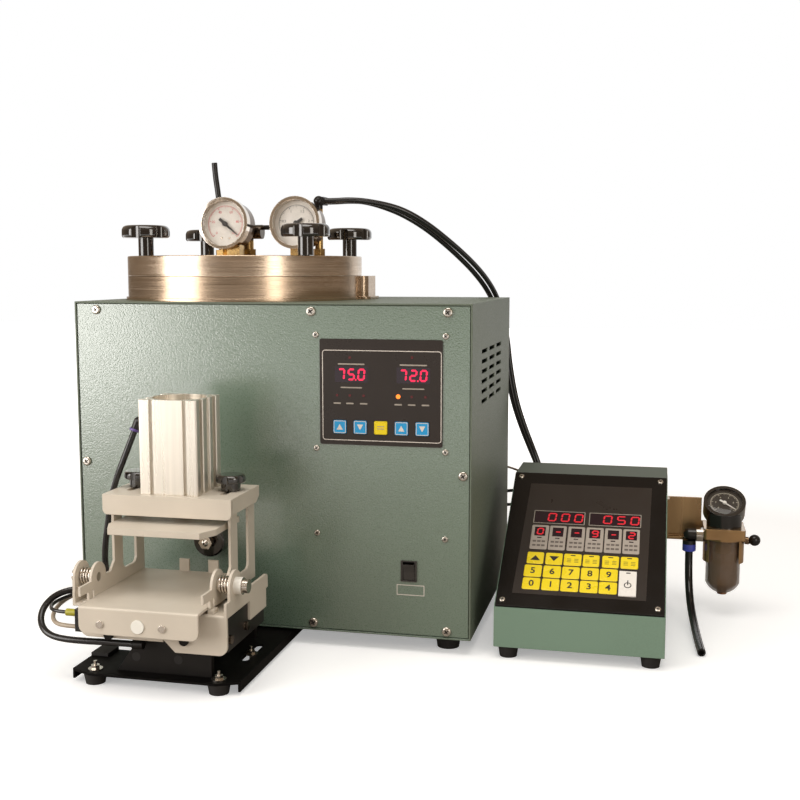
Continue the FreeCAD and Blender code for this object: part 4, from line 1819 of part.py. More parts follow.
# ------------------------------------------------------------------ build
def nodes():
    yield "cabinet_shell", [cabinet_shell()]
    yield "base_pan", [base_pan()]
    yield "front_panel", [front_panel()]
    yield "rear_panel", [rear_panel()]
    yield "cabinet_screws", cabinet_screws()
    yield "rubber_feet", rubber_feet()
    yield "control_panel", control_panel()
    for number, (x, z) in enumerate(key_centres(), 1):
        yield "panel_key_%d" % number, panel_key(x, z)
    yield "control_boards", cabinet_board() + controller_board()
    yield "rocker_frame", rocker_frame()
    yield "rocker_button", rocker_button()
    yield "mains_inlet", mains_inlet()
    yield "wax_pot", wax_pot()
    yield "heater_band", heater_band()
    yield "lid_gasket", lid_gasket()
    yield "pot_lid", pot_lid()
    for name, centre in zip(KNOB_NAMES, knob_centres()):
        yield "lid_knob_" + name, lid_knob(centre)
    yield "gauge_cases", gauge_cases()
    yield "gauge_lenses", gauge_lenses()
    for name, x, angle in zip(("vacuum", "pressure"), GAUGE_XS, NEEDLE_ANGLES):
        yield name + "_needle", [placed(gauge_needle(angle), gauge_place(x))]
    yield "lid_fittings", lid_fittings()
    yield "nozzle_housing", nozzle_housing()
    yield "nozzle_feed", nozzle_feed()
    yield "nozzle_tip", nozzle_tip()
    yield "solenoid_valves", solenoid_valves()
    yield "clamp_base", clamp_base()
    yield "slide_mount", slide_mount()
    yield "slide_guides", slide_guides()
    yield "carriage_block", carriage_block()
    yield "carriage_bracket", carriage_bracket()
    yield "pivot_bolts", pivot_bolts()
    yield "torsion_springs", torsion_springs()
    yield "mold_tray", mold_tray()
    yield "top_plate", top_plate()
    yield "cylinder_barrel", cylinder_barrel()
    yield "press_plate", press_plate()
    yield "clamp_knob_left", thumb_knob(-1)
    yield "clamp_knob_right", thumb_knob(1)
    yield "controller_case", controller_case()
    yield "controller_panel", controller_panel()
    yield "start_key", start_key()
    yield "regulator_bracket", regulator_bracket()
    yield "regulator_body", regulator_body()
    yield "regulator_gauge", regulator_gauge()
    yield "regulator_needle", regulator_needle()
    yield "regulator_bowl", regulator_bowl()
    yield "regulator_lever", regulator_lever()
    yield "hose_unions", hose_unions()
    yield "lid_hoses", lid_hoses()
    yield "clamp_hoses", clamp_hoses()
    yield "link_hoses", link_hoses()
    yield "supply_hose", supply_hose()


def main():
    os.makedirs("parts", exist_ok=True)
    for name, solids in nodes():
        save(name, solids)


main()
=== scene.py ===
"""Looks of a jewelry wax injector with its mould clamp, controller and air regulator.

Places are given in millimetres in the machine's own layout, as the part's source has them, and
at() turns them into the row frame, in metres.
"""

import math

import bmesh
import bpy
from mathutils import Matrix, Vector


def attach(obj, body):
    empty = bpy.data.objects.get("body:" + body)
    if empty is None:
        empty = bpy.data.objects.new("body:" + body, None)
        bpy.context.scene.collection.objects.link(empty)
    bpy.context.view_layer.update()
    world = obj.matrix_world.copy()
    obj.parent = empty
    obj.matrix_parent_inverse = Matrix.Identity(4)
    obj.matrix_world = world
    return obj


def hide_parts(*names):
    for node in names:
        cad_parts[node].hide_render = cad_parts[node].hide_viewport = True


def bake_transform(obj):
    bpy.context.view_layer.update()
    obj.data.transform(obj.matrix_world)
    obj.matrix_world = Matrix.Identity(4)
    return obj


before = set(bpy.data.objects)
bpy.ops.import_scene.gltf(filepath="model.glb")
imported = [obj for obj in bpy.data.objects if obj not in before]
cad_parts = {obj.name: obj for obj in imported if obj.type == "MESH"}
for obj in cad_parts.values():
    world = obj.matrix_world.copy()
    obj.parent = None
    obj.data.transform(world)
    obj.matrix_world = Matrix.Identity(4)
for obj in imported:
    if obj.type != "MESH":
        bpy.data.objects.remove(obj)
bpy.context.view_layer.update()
scene = bpy.context.scene

MM = 0.001
ORIGIN = Vector((338.2, 45.3, 0.0))
X = Vector((1.0, 0.0, 0.0))
Z = Vector((0.0, 0.0, 1.0))


def at(x, y, z):
    """A layout place, in the row frame."""
    return (Vector((x, y, z)) - ORIGIN) * MM


def srgb(*levels):
    """A linear colour from its 0 to 255 display levels."""
    shares = [v / 255.0 for v in levels]
    return tuple(s / 12.92 if s <= 0.04045 else ((s + 0.055) / 1.055) ** 2.4 for s in shares)


# ---- places shared with the part's source
CLAMP_X = 144.0  # middle of the mould clamp
POT = (132.5, 129.0)  # axis of the wax pot
CAB_W, CAB_D = 400.0, 260.0  # the cabinet, from its left front edge
CTRL_X, CTRL_Y, CTRL_LIP_Z = 422.1, -1.7, 50.1  # lower left corner of the controller's face
CTRL_W, SLOPE_L = 157.4, 187.0  # width of that face, and its length up the slope
SLOPE = math.radians(32.33)
FACE_T = 2.0  # its thickness
FILM_TOP = FACE_T + 0.2  # the printed film's surface
CTRL_SCREW_U, CTRL_SCREW_V = 7.2, 8.0  # its screws, in from the corners
SCREW_HEAD_H = 1.6
START_U, START_V = 122.0, 36.7  # middle of the START key
START_HALF_U, START_HALF_V = 8.4, 15.9  # half of the opening round it
OVERLAY_FACE = -1.2  # front of the cabinet's control film
KEY_FACE = -2.1  # front of the keys on it
KEY_X1, KEY_STEP, KEY_Z = 273.2, 20.0, 216.4
GAUGE_XS = (120.4, 198.5)
GAUGE_Y, GAUGE_Z = 95.0, 413.0
GAUGE_TILT = math.radians(85.0)
REG = (639.0, 190.0, 122.7)  # middle of the regulator's gauge
REG_TILT = math.radians(37.0)
ROCKER = (340.3, 5.0, 79.4)  # axis of the rocker
ROCKER_REST = math.radians(8.0)
ROCKER_FACE = -6.0  # from that axis to the dip between its two halves
HOSE_R, SMALL_HOSE_R, WIRE_R, SUPPLY_R, SUPPLY_BORE = 2.9, 1.9, 1.2, 4.0, 2.5

# ---- marks in the metal and paint: scales per metre, depths in metres
PEBBLES, PEBBLE_DEPTH, COAT_PEBBLE_DEPTH = 800.0, 0.00035, 0.00016
LATHE_LINES = (1400.0, 1.6, 1700.0)  # across the radius, round the axis and along it
LATHE_STAINS = (60.0, 3.2, 90.0)


# ------------------------------------------------------------------ materials
def tinted(colour, factor):
    return tuple(min(1.0, c * factor) for c in colour)


class Nodes:
    """A node tree that is built by calls."""

    def add(self, kind, inputs=(), **props):
        node = self.tree.nodes.new("ShaderNode" + kind)
        for key, value in props.items():
            setattr(node, key, value)
        for key, value in dict(inputs).items():
            self.feed(node.inputs[key], value)
        return node

    def feed(self, socket, value):
        if isinstance(value, bpy.types.NodeSocket):
            self.tree.links.new(value, socket)
        else:
            socket.default_value = value

    def calc(self, operation, a, b=0.5):
        return self.add("Math", {0: a, 1: b}, operation=operation).outputs[0]

    def split(self, vector):
        return self.add("SeparateXYZ", {0: vector}).outputs

    def spread(self, value, low, high, to_low=0.0, to_high=1.0):
        return self.add("MapRange", {"Value": value, "From Min": low, "From Max": high,
                                     "To Min": to_low, "To Max": to_high}).outputs[0]

    def mix(self, factor, a, b):
        return self.add("Mix", {0: factor, 6: a, 7: b}, data_type="RGBA").outputs[2]

    def mix_value(self, factor, a, b):
        return self.add("Mix", {0: factor, 2: a, 3: b}, data_type="FLOAT").outputs[0]


class Finish(Nodes):
    """A Principled material. Calls add to its colour, roughness and relief; made() links them."""

    def __init__(self, name, colour, rough, metal=0.0, **fixed):
        self.name = name
        self.material = bpy.data.materials.new(name)
        self.material.use_nodes = True
        self.tree = self.material.node_tree
        self.shader = self.tree.nodes["Principled BSDF"]
        self.colour, self.rough, self.metal = (*colour, 1.0), rough, metal
        self.normal = None
        for socket, value in fixed.items():
            self.shader.inputs[socket.replace("_", " ")].default_value = value
        self.where = self.add("TexCoord").outputs["Object"]

    def noise(self, scale, detail=3.0, stretch=None, place=None):
        vector = place or self.where
        if stretch:
            vector = self.add("VectorMath", {0: self.where, 1: stretch}, operation="MULTIPLY").outputs[0]
        return self.add("TexNoise", {"Vector": vector, "Scale": scale, "Detail": detail}).outputs["Fac"]

    def cells(self, scale, output="Distance", **props):
        return self.add("TexVoronoi", {"Vector": self.where, "Scale": scale}, **props).outputs[output]

    def tone(self, amount, scale, stretch=None):
        """Lighter and darker patches of the base colour."""
        fac = self.spread(self.noise(scale, stretch=stretch), 0.32, 0.68)
        low, high = tinted(self.colour[:3], 1.0 - amount), tinted(self.colour[:3], 1.0 + amount)
        self.colour = self.mix(fac, (*low, 1.0), (*high, 1.0))
        return self

    def smudge(self, amount, scale, stretch=None):
        """Roughness that wanders, as handling leaves it."""
        fac = self.noise(scale, 4.0, stretch)
        self.rough = self.spread(fac, 0.3, 0.7, self.rough - amount, self.rough + amount)
        return self

    def relief(self, height, strength, depth):
        inputs = {"Height": height, "Strength": strength, "Distance": depth}
        if self.normal:
            inputs["Normal"] = self.normal
        self.normal = self.add("Bump", inputs).outputs[0]
        return self

    def grain(self, scale, strength, depth=0.0001, stretch=None):
        return self.relief(self.noise(scale, 2.0, stretch), strength, depth)

    def soft_edges(self, radius):
        self.normal = self.add("Bevel", {"Radius": radius}, samples=4).outputs[0]
        return self

    def zone(self, colour, rough, metal=0.0, **ranges):
        """Another finish inside these layout ranges."""
        mask = self.inside(**ranges)
        self.colour = self.mix(mask, self.colour, (*colour, 1.0))
        self.rough = self.mix_value(mask, self.rough, rough)
        self.metal = self.mix_value(mask, self.metal, metal)
        return self

    def inside(self, x=None, y=None, z=None):
        """One inside these layout ranges, in millimetres."""
        split = self.split(self.where)
        mask = None
        for axis, limits in enumerate((x, y, z)):
            for limit, test in zip(limits or (), ("GREATER_THAN", "LESS_THAN")):
                if limit is None:
                    continue
                step = self.calc(test, split[axis], (limit - ORIGIN[axis]) * MM)
                mask = step if mask is None else self.calc("MULTIPLY", mask, step)
        return mask

    def made(self):
        self.feed(self.shader.inputs["Base Color"], self.colour)
        self.feed(self.shader.inputs["Roughness"], self.rough)
        self.feed(self.shader.inputs["Metallic"], self.metal)
        if self.normal:
            self.feed(self.shader.inputs["Normal"], self.normal)
        return self.material


def hammertone(name, colour, cell=PEBBLES, strength=0.3, rough=0.34, gloss=1.0, coat=1.0):
    """Enamel that dries into small glossy pebbles, with metal flake in it."""
    f = Finish(name, colour, rough, 0.04, Coat_Weight=coat, Coat_Roughness=0.12, Coat_IOR=1.8,
               Specular_IOR_Level=gloss)
    f.soft_edges(0.0007)
    pebble = f.calc("SUBTRACT", 1.0, f.cells(cell, feature="SMOOTH_F1"))
    flake = f.cells(cell * 1.9, "Color")
    f.tone(0.07, 9.0)
    f.colour = f.mix(f.spread(pebble, 0.25, 0.85), f.colour, (*tinted(colour, 1.06), 1.0))
    f.rough = f.spread(f.add("SeparateColor", {0: flake}).outputs[0], 0.0, 1.0, rough - 0.1, rough + 0.1)
    glint = f.add("Bump", {"Height": pebble, "Strength": 1.0, "Distance": COAT_PEBBLE_DEPTH,
                            "Normal": f.normal})
    f.feed(f.shader.inputs["Coat Normal"], glint.outputs[0])
    return f.relief(pebble, strength * 0.5, PEBBLE_DEPTH)


def turned(name, colour, rough):
    """Metal turned on the wax pot's axis: fine rings on its faces and on its rim."""
    f = Finish(name, colour, rough, 1.0, Anisotropic=0.75)
    f.soft_edges(0.0006)
    x, y, z = f.split(f.where)
    axis = at(*POT, 0)
    away_x, away_y = f.calc("SUBTRACT", x, axis.x), f.calc("SUBTRACT", y, axis.y)
    square_x, square_y = f.calc("MULTIPLY", away_x, away_x), f.calc("MULTIPLY", away_y, away_y)
    radius = f.calc("SQRT", f.calc("ADD", square_x, square_y))
    turn = f.calc("ARCTAN2", away_y, away_x)

    def wound(scales):
        parts = [f.calc("MULTIPLY", part, scale) for part, scale in zip((radius, turn, z), scales)]
        return f.add("CombineXYZ", enumerate(parts)).outputs[0]

    lines = f.noise(1.0, 5.0, place=wound(LATHE_LINES))
    stain = f.noise(1.0, 6.0, place=wound(LATHE_STAINS))
    f.colour = f.mix(f.spread(stain, 0.3, 0.7), (*tinted(colour, 0.82), 1.0), (*tinted(colour, 1.08), 1.0))
    f.rough = f.spread(lines, 0.25, 0.75, rough - 0.06, rough + 0.08)
    f.feed(f.shader.inputs["Tangent"], f.add("Tangent", direction_type="RADIAL", axis="Z").outputs[0])
    return f.relief(lines, 0.035, 0.00005)


def plain(name, colour, rough, metal=0.0, tone=0.1, tone_scale=26.0, smudge=0.05, smudge_scale=38.0,
          grain=0.12, grain_scale=1100.0, depth=0.00008, stretch=None, edge=0.0, **fixed):
    f = Finish(name, colour, rough, metal, **fixed)
    if edge:
        f.soft_edges(edge)
    f.tone(tone, tone_scale, stretch=stretch)
    f.smudge(smudge, smudge_scale, stretch)
    return f.grain(grain_scale, grain, depth, stretch)


def ink(name, colour, rough=0.4):
    return plain(name, colour, rough, tone=0.05, tone_scale=150.0, smudge=0.04, grain=0.05)


def glowing(name, colour, strength):
    """A lit mark: its own colour and light, a little uneven over its surface."""
    f = Finish(name, tinted(colour, 0.6), 0.4, Emission_Strength=strength)
    f.tone(0.1, 700.0)
    glow = f.mix(f.spread(f.noise(900.0), 0.3, 0.7), (*tinted(colour, 0.85), 1.0), (*colour, 1.0))
    f.feed(f.shader.inputs["Emission Color"], glow)
    return f.grain(900.0, 0.05)


STEEL = srgb(206, 200, 191)
BLACK = srgb(22, 20, 19)
BRASS = srgb(192, 160, 106)
BEIGE = srgb(208, 197, 181)


def bright_steel(name):
    return plain(name, STEEL, 0.2, 1.0, tone=0.12, smudge=0.08, grain=0.1, grain_scale=500.0)


def beige_paint(name):
    return plain(name, BEIGE, 0.42, tone=0.04, smudge=0.05, grain=0.22, grain_scale=620.0, depth=0.00012,
                 edge=0.0009)


def controller_paint():
    """The cabinet's paint, lighter and satin, and duller on the case's small top face, which is also painted
    darker as shade.
    """
    f = hammertone("controller_green", srgb(123, 146, 128), 700.0, 0.2, 0.5, 0.15, 0.0)
    # painted shade: the top face gets a darker colour because less light falls on it
    return f.zone(srgb(92, 98, 86), 0.6, z=(137.3, None))


def extruded_aluminium():
    """The square cylinder, with its union in black."""
    f = plain("anodised_aluminium", srgb(224, 217, 205), 0.3, 0.8, tone=0.05, tone_scale=300.0, smudge=0.07,
              smudge_scale=200.0, grain=0.2, grain_scale=900.0, stretch=(1.0, 1.0, 0.03), edge=0.0006)
    return f.zone(BLACK, 0.3, x=(None, CLAMP_X - 28.1))


def lid_brass():
    """The brass fittings on the lid, with black tubes and hose ends and a dark valve body."""
    f = plain("fitting_brass", BRASS, 0.24, 1.0, tone=0.25, tone_scale=70.0, smudge=0.08, edge=0.0005)
    f.zone(BLACK, 0.3, x=(None, 108), z=(386, None))
    f.zone(BLACK, 0.28, x=(150, 214), z=(405, 413))
    f.zone(BLACK, 0.25, x=(205, None), z=(428, None))
    return f.zone(srgb(94, 84, 74), 0.25, 1.0, x=(116, 152), y=(124, 142), z=(396, 414))


def clamp_base_black():
    """The black base, with the bare steel on top of it."""
    f = plain("base_enamel", srgb(11, 9, 8), 0.55, tone=0.3, tone_scale=14.0, grain=0.22, grain_scale=640.0,
              edge=0.0007, Specular_IOR_Level=0.1)
    return f.zone(STEEL, 0.25, 1.0, z=(12.3, None))


def bracket_paint():
    """The beige bracket, with its dark bolts, black sensor block and yellow gland."""
    f = beige_paint("bracket_paint")
    f.zone(srgb(26, 23, 21), 0.25, 0.6, y=(None, -157.05))
    f.zone(BLACK, 0.4, y=(-154.6, -144), z=(49, 70.5), x=(73, 92))
    return f.zone(srgb(168, 160, 40), 0.35, x=(None, 74.9), y=(-154.5, -146), z=(60, 70))


def tray_paint():
    """The beige tray, with bright screws and a white disc on its lip, and black behind the lip."""
    f = beige_paint("tray_paint")
    f.zone(srgb(236, 230, 222), 0.18, 1.0, y=(None, -174.02))
    f.zone(srgb(240, 236, 226), 0.45, x=(136, 152), y=(None, -174.02))
    return f.zone(BLACK, 0.4, x=(99, 177), y=(-171.99, -163), z=(59, 73))


def pivot_steel():
    """The pivot bolts, with a white bush on the right one."""
    f = plain("pivot_steel", STEEL, 0.18, 1.0, tone=0.15, edge=0.0006)
    return f.zone(srgb(236, 231, 221), 0.45, x=(CLAMP_X + 73.5, CLAMP_X + 80.5))


def block_black():
    """The black bearing block, with the metal on its right side."""
    f = plain("block_black", srgb(30, 27, 25), 0.36, 0.2, tone=0.25, edge=0.0006)
    return f.zone(srgb(120, 108, 96), 0.2, 1.0, x=(CLAMP_X + 71.02, None))


def guide_steel():
    """Slide rods, with black caps on their front ends."""
    f = bright_steel("guide_steel")
    return f.zone(BLACK, 0.4, y=(None, -137))


def regulator_metal():
    """Bronze-coloured head and guard, with the sintered element, stem and baffle inside; the element's
    colour carries painted light.
    """
    f = plain("regulator_metal", srgb(182, 146, 102), 0.2, 0.85, tone=0.25, edge=0.0008, Coat_Weight=0.4)
    f.zone(BLACK, 0.3, x=(None, 611))
    f.zone(STEEL, 0.2, 1.0, x=(611, 618))
    f.zone(srgb(76, 84, 186), 0.35, x=(None, 612), z=(69.9, 75))
    f.zone(BLACK, 0.15, x=(618.2, None), z=(96.05, None))
    core = {"x": (628, 650), "y": (179, 201)}
    # painted light: the element is lighter than its brass and not metal, to make up for the bowl's shade on
    # it
    f.zone(srgb(250, 216, 152), 0.5, 0.0, z=(67.9, 84.9), **core)
    return f.zone(srgb(206, 190, 166), 0.25, 0.9, z=(None, 67.9), **core)


def bowl_plastic():
    """Smoky plastic, with the brass drain seat inside it."""
    f = plain("bowl_plastic", srgb(112, 88, 66), 0.08, tone=0.25, smudge=0.03, grain=0.04, Coat_Weight=1.0)
    drain = {"x": (633.8, 644.2), "y": (184.8, 195.2), "z": (22, 38.1)}
    f.feed(f.shader.inputs["Alpha"], f.mix_value(f.inside(**drain), 0.66, 1.0))
    return f.zone(srgb(160, 108, 66), 0.25, 1.0, **drain)


def gauge_metal():
    """Polished cases, darker at the back."""
    f = plain("gauge_metal", srgb(224, 216, 206), 0.06, 1.0, tone=0.06, smudge=0.03, grain=0.03, edge=0.0006)
    return f.zone(srgb(116, 102, 90), 0.22, 0.9, y=(103.5, None))


def lever_metal():
    """Metal by the regulator's body, black further out."""
    f = plain("lever_metal", srgb(128, 106, 84), 0.2, 1.0, tone=0.1)
    return f.zone(srgb(20, 18, 18), 0.15, x=(664.6, None))


finishes = {f.name: f.made() for f in (
    hammertone("hammertone_green", srgb(99, 118, 101)),
    hammertone("shell_green", srgb(108, 116, 102), rough=0.5, gloss=0.2, coat=0.0),
    turned("machined_aluminium", srgb(214, 194, 172), 0.19),
    turned("pot_aluminium", srgb(192, 170, 146), 0.2),
    plain("black_enamel", srgb(22, 19, 17), 0.4, tone=0.25, grain=0.2, grain_scale=700.0, edge=0.0006,
          Specular_IOR_Level=0.3),
    plain("brass", BRASS, 0.24, 1.0, tone=0.22, tone_scale=60.0, smudge=0.08, edge=0.0004),
    plain("chrome", srgb(226, 219, 210), 0.08, 1.0, tone=0.05, smudge=0.03, grain=0.03, edge=0.0005),
    plain("bracket_metal", srgb(192, 158, 116), 0.26, 0.85, tone=0.3, tone_scale=22.0, smudge=0.1,
          grain=0.15, grain_scale=300.0, stretch=(1.0, 1.0, 0.12), edge=0.0006),
    plain("clear_glass", (0.9, 0.92, 0.92), 0.03, 1.0, tone=0.02, smudge=0.01, grain=0.01, Alpha=0.035),
    plain("gloss_black", srgb(19, 15, 13), 0.1, tone=0.2, smudge=0.03, grain=0.03, grain_scale=300.0,
          edge=0.0012, Coat_Weight=0.9, Coat_Roughness=0.03, Coat_IOR=1.7),
    plain("panel_enamel", srgb(17, 13, 11), 0.2, tone=0.15, smudge=0.04, grain=0.05, grain_scale=300.0,
          edge=0.0012, Specular_IOR_Level=0.3),
    plain("satin_black", srgb(30, 28, 28), 0.38, tone=0.15, grain=0.25, edge=0.0004),
    plain("panel_film", srgb(43, 35, 30), 0.3, tone=0.06, smudge=0.04, grain=0.1, grain_scale=900.0,
          Specular_IOR_Level=0.4),
    plain("key_blue", srgb(36, 152, 208), 0.28, tone=0.04, edge=0.0006),
    plain("key_yellow", srgb(238, 210, 18), 0.28, tone=0.03, edge=0.0006),
    plain("key_white", srgb(236, 229, 220), 0.3, tone=0.03, edge=0.0006),
    plain("circuit_board", srgb(28, 92, 54), 0.4, tone=0.3, tone_scale=240.0, grain=0.5, grain_scale=260.0),
    plain("black_rubber", srgb(34, 32, 31), 0.66, tone=0.15, grain=0.4, grain_scale=420.0, edge=0.0010),
    plain("silicone", srgb(178, 66, 48), 0.55, tone=0.08),
    plain("hose_black", srgb(22, 21, 22), 0.24, tone=0.2, smudge=0.06, grain=0.05, Coat_Weight=0.3),
    plain("hose_tan", srgb(176, 160, 140), 0.3, tone=0.1, smudge=0.05),
    plain("wire_brown", srgb(112, 90, 72), 0.4, tone=0.35, tone_scale=160.0),
    plain("needle_black", srgb(28, 25, 24), 0.45, tone=0.1),
    plain("needle_white", srgb(232, 228, 220), 0.45, tone=0.05),
    # painted shade: the dark colour of the screws' cross recesses
    plain("painted_recess_shade", srgb(30, 24, 20), 0.5, 0.3, tone=0.2),
    beige_paint("clamp_beige"), bright_steel("steel"), controller_paint(), extruded_aluminium(), lid_brass(),
    clamp_base_black(), bracket_paint(), tray_paint(), pivot_steel(), block_black(), guide_steel(),
    regulator_metal(), bowl_plastic(), gauge_metal(), lever_metal(),
    ink("white_ink", srgb(222, 212, 202)), ink("grey_ink", srgb(162, 152, 140)),
    ink("black_ink", srgb(34, 28, 22)), ink("red_ink", srgb(196, 40, 44)),
    ink("faded_ink", srgb(96, 86, 78)), ink("olive_ink", srgb(150, 132, 20)),
    ink("dark_window", srgb(34, 14, 26), 0.12), ink("indicator_grey", srgb(166, 154, 142)),
    ink("lamp_off", srgb(84, 22, 24), 0.25), ink("dial_paper", srgb(228, 222, 214), 0.5),
    ink("dial_dark", srgb(34, 28, 23), 0.35), ink("dial_light", srgb(206, 196, 176)),
    ink("collet_blue", srgb(70, 82, 196), 0.35), ink("collet_purple", srgb(104, 84, 150), 0.35),
    glowing("display_red", srgb(255, 38, 84), 0.9), glowing("controller_red", srgb(222, 14, 38), 0.6),
    glowing("lamp_on", srgb(255, 122, 40), 2.0),
)}

for finish_name, nodes in {
    "shell_green": "cabinet_shell",
    "hammertone_green": "base_pan front_panel rear_panel",
    "steel": "cabinet_screws",
    "black_rubber": "rubber_feet",
    "panel_film": "control_panel",
    "key_blue": "panel_key_1 panel_key_2 panel_key_4 panel_key_5",
    "key_yellow": "panel_key_3",
    "circuit_board": "control_boards",
    "gloss_black": "rocker_frame rocker_button nozzle_housing regulator_gauge "
                   "clamp_knob_left clamp_knob_right lid_knob_front_left lid_knob_front_right "
                   "lid_knob_back_left lid_knob_back_right",
    "satin_black": "mains_inlet solenoid_valves hose_unions",
    "pot_aluminium": "wax_pot",
    "silicone": "heater_band lid_gasket",
    "machined_aluminium": "pot_lid",
    "gauge_metal": "gauge_cases",
    "clear_glass": "gauge_lenses",
    "needle_black": "vacuum_needle pressure_needle",
    "fitting_brass": "lid_fittings",
    "brass": "nozzle_feed",
    "chrome": "nozzle_tip torsion_springs",
    "base_enamel": "clamp_base",
    "black_enamel": "slide_mount",
    "guide_steel": "slide_guides",
    "block_black": "carriage_block",
    "bracket_paint": "carriage_bracket",
    "pivot_steel": "pivot_bolts",
    "tray_paint": "mold_tray",
    "clamp_beige": "top_plate press_plate",
    "anodised_aluminium": "cylinder_barrel",
    "controller_green": "controller_case",
    "panel_enamel": "controller_panel",
    "key_white": "start_key",
    "bracket_metal": "regulator_bracket",
    "regulator_metal": "regulator_body",
    "needle_white": "regulator_needle",
    "bowl_plastic": "regulator_bowl",
    "lever_metal": "regulator_lever",
    "hose_black": "lid_hoses clamp_hoses link_hoses supply_hose",
}.items():
    for node in nodes.split():
        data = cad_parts[node].data
        data.materials.clear()
        data.materials.append(finishes[finish_name])


# ------------------------------------------------------------------ pieces
def placed(name, mesh, material, body, smooth=False):
    """A new piece of that mesh and finish, riding on a body."""
    piece = bpy.data.objects.new(name, mesh)
    scene.collection.objects.link(piece)
    mesh.materials.append(finishes[material])
    if smooth:
        for face in mesh.polygons:
            face.use_smooth = True
    if body:
        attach(piece, body)
    return piece


def mesh_of(name, bm):
    mesh = bpy.data.meshes.new(name)
    bm.to_mesh(mesh)
    bm.free()
    return mesh


def meshed(curve):
    """The mesh that a curve makes; the curve itself isn't kept."""
    holder = bpy.data.objects.new(curve.name, curve)
    scene.collection.objects.link(holder)
    bpy.context.view_layer.update()
    mesh = bpy.data.meshes.new_from_object(holder)
    bpy.data.objects.remove(holder)
    bpy.data.curves.remove(curve)
    return mesh


def skin(bm, rings):
    """A closed solid through rings of points, from the first ring to the last."""
    rows = [[bm.verts.new(point) for point in ring] for ring in rings]
    bm.faces.new(rows[0][::-1])
    bm.faces.new(rows[-1])
    for low, high in zip(rows, rows[1:]):
        for i in range(len(low)):
            j = (i + 1) % len(low)
            bm.faces.new((low[i], low[j], high[j], high[i]))


def turns(sides):
    return [2 * math.pi * i / sides for i in range(sides)]


def circle(radius, sides, u=0.0, v=0.0):
    return [(u + radius * math.cos(a), v + radius * math.sin(a)) for a in turns(sides)]


def rounded_box(u0, v0, u1, v1, corner=0.0, steps=5):
    if corner <= 0.0:
        return [(u0, v0), (u1, v0), (u1, v1), (u0, v1)]
    points = []
    for cu, cv, start in ((u1 - corner, v0 + corner, -90), (u1 - corner, v1 - corner, 0),
                          (u0 + corner, v1 - corner, 90), (u0 + corner, v0 + corner, 180)):
        for i in range(steps + 1):
            a = math.radians(start + 90.0 * i / steps)
            points.append((cu + corner * math.cos(a), cv + corner * math.sin(a)))
    return points


class Face:
    """A flat face to print on, from its origin and its right and up directions."""

    def __init__(self, origin, right, up):
        self.origin, self.right, self.up = origin, right, up
        self.out = right.cross(up)

    def at(self, u, v, lift):
        return self.origin + (self.right * u + self.up * v + self.out * lift) * MM


CABINET = Face(at(0, OVERLAY_FACE, 0), X, Z)
KEYS = Face(at(0, KEY_FACE, 0), X, Z)
CONTROLLER = Face(at(CTRL_X, CTRL_Y, CTRL_LIP_Z), X, Vector((0, math.cos(SLOPE), math.sin(SLOPE))))
DIAL_UP = Vector((0, math.cos(GAUGE_TILT), math.sin(GAUGE_TILT)))
DIALS = [Face(at(x, GAUGE_Y, GAUGE_Z), X, DIAL_UP) for x in GAUGE_XS]
REG_DIAL = Face(at(*REG), X, Vector((0, math.cos(REG_TILT), math.sin(REG_TILT))))

SEGMENTS = {"0": "abcdef", "1": "bc", "2": "abged", "3": "abgcd", "4": "fgbc", "5": "afgcd", "6": "afgedc",
            "7": "abc", "8": "abcdefg", "9": "abcdfg", "-": "g"}


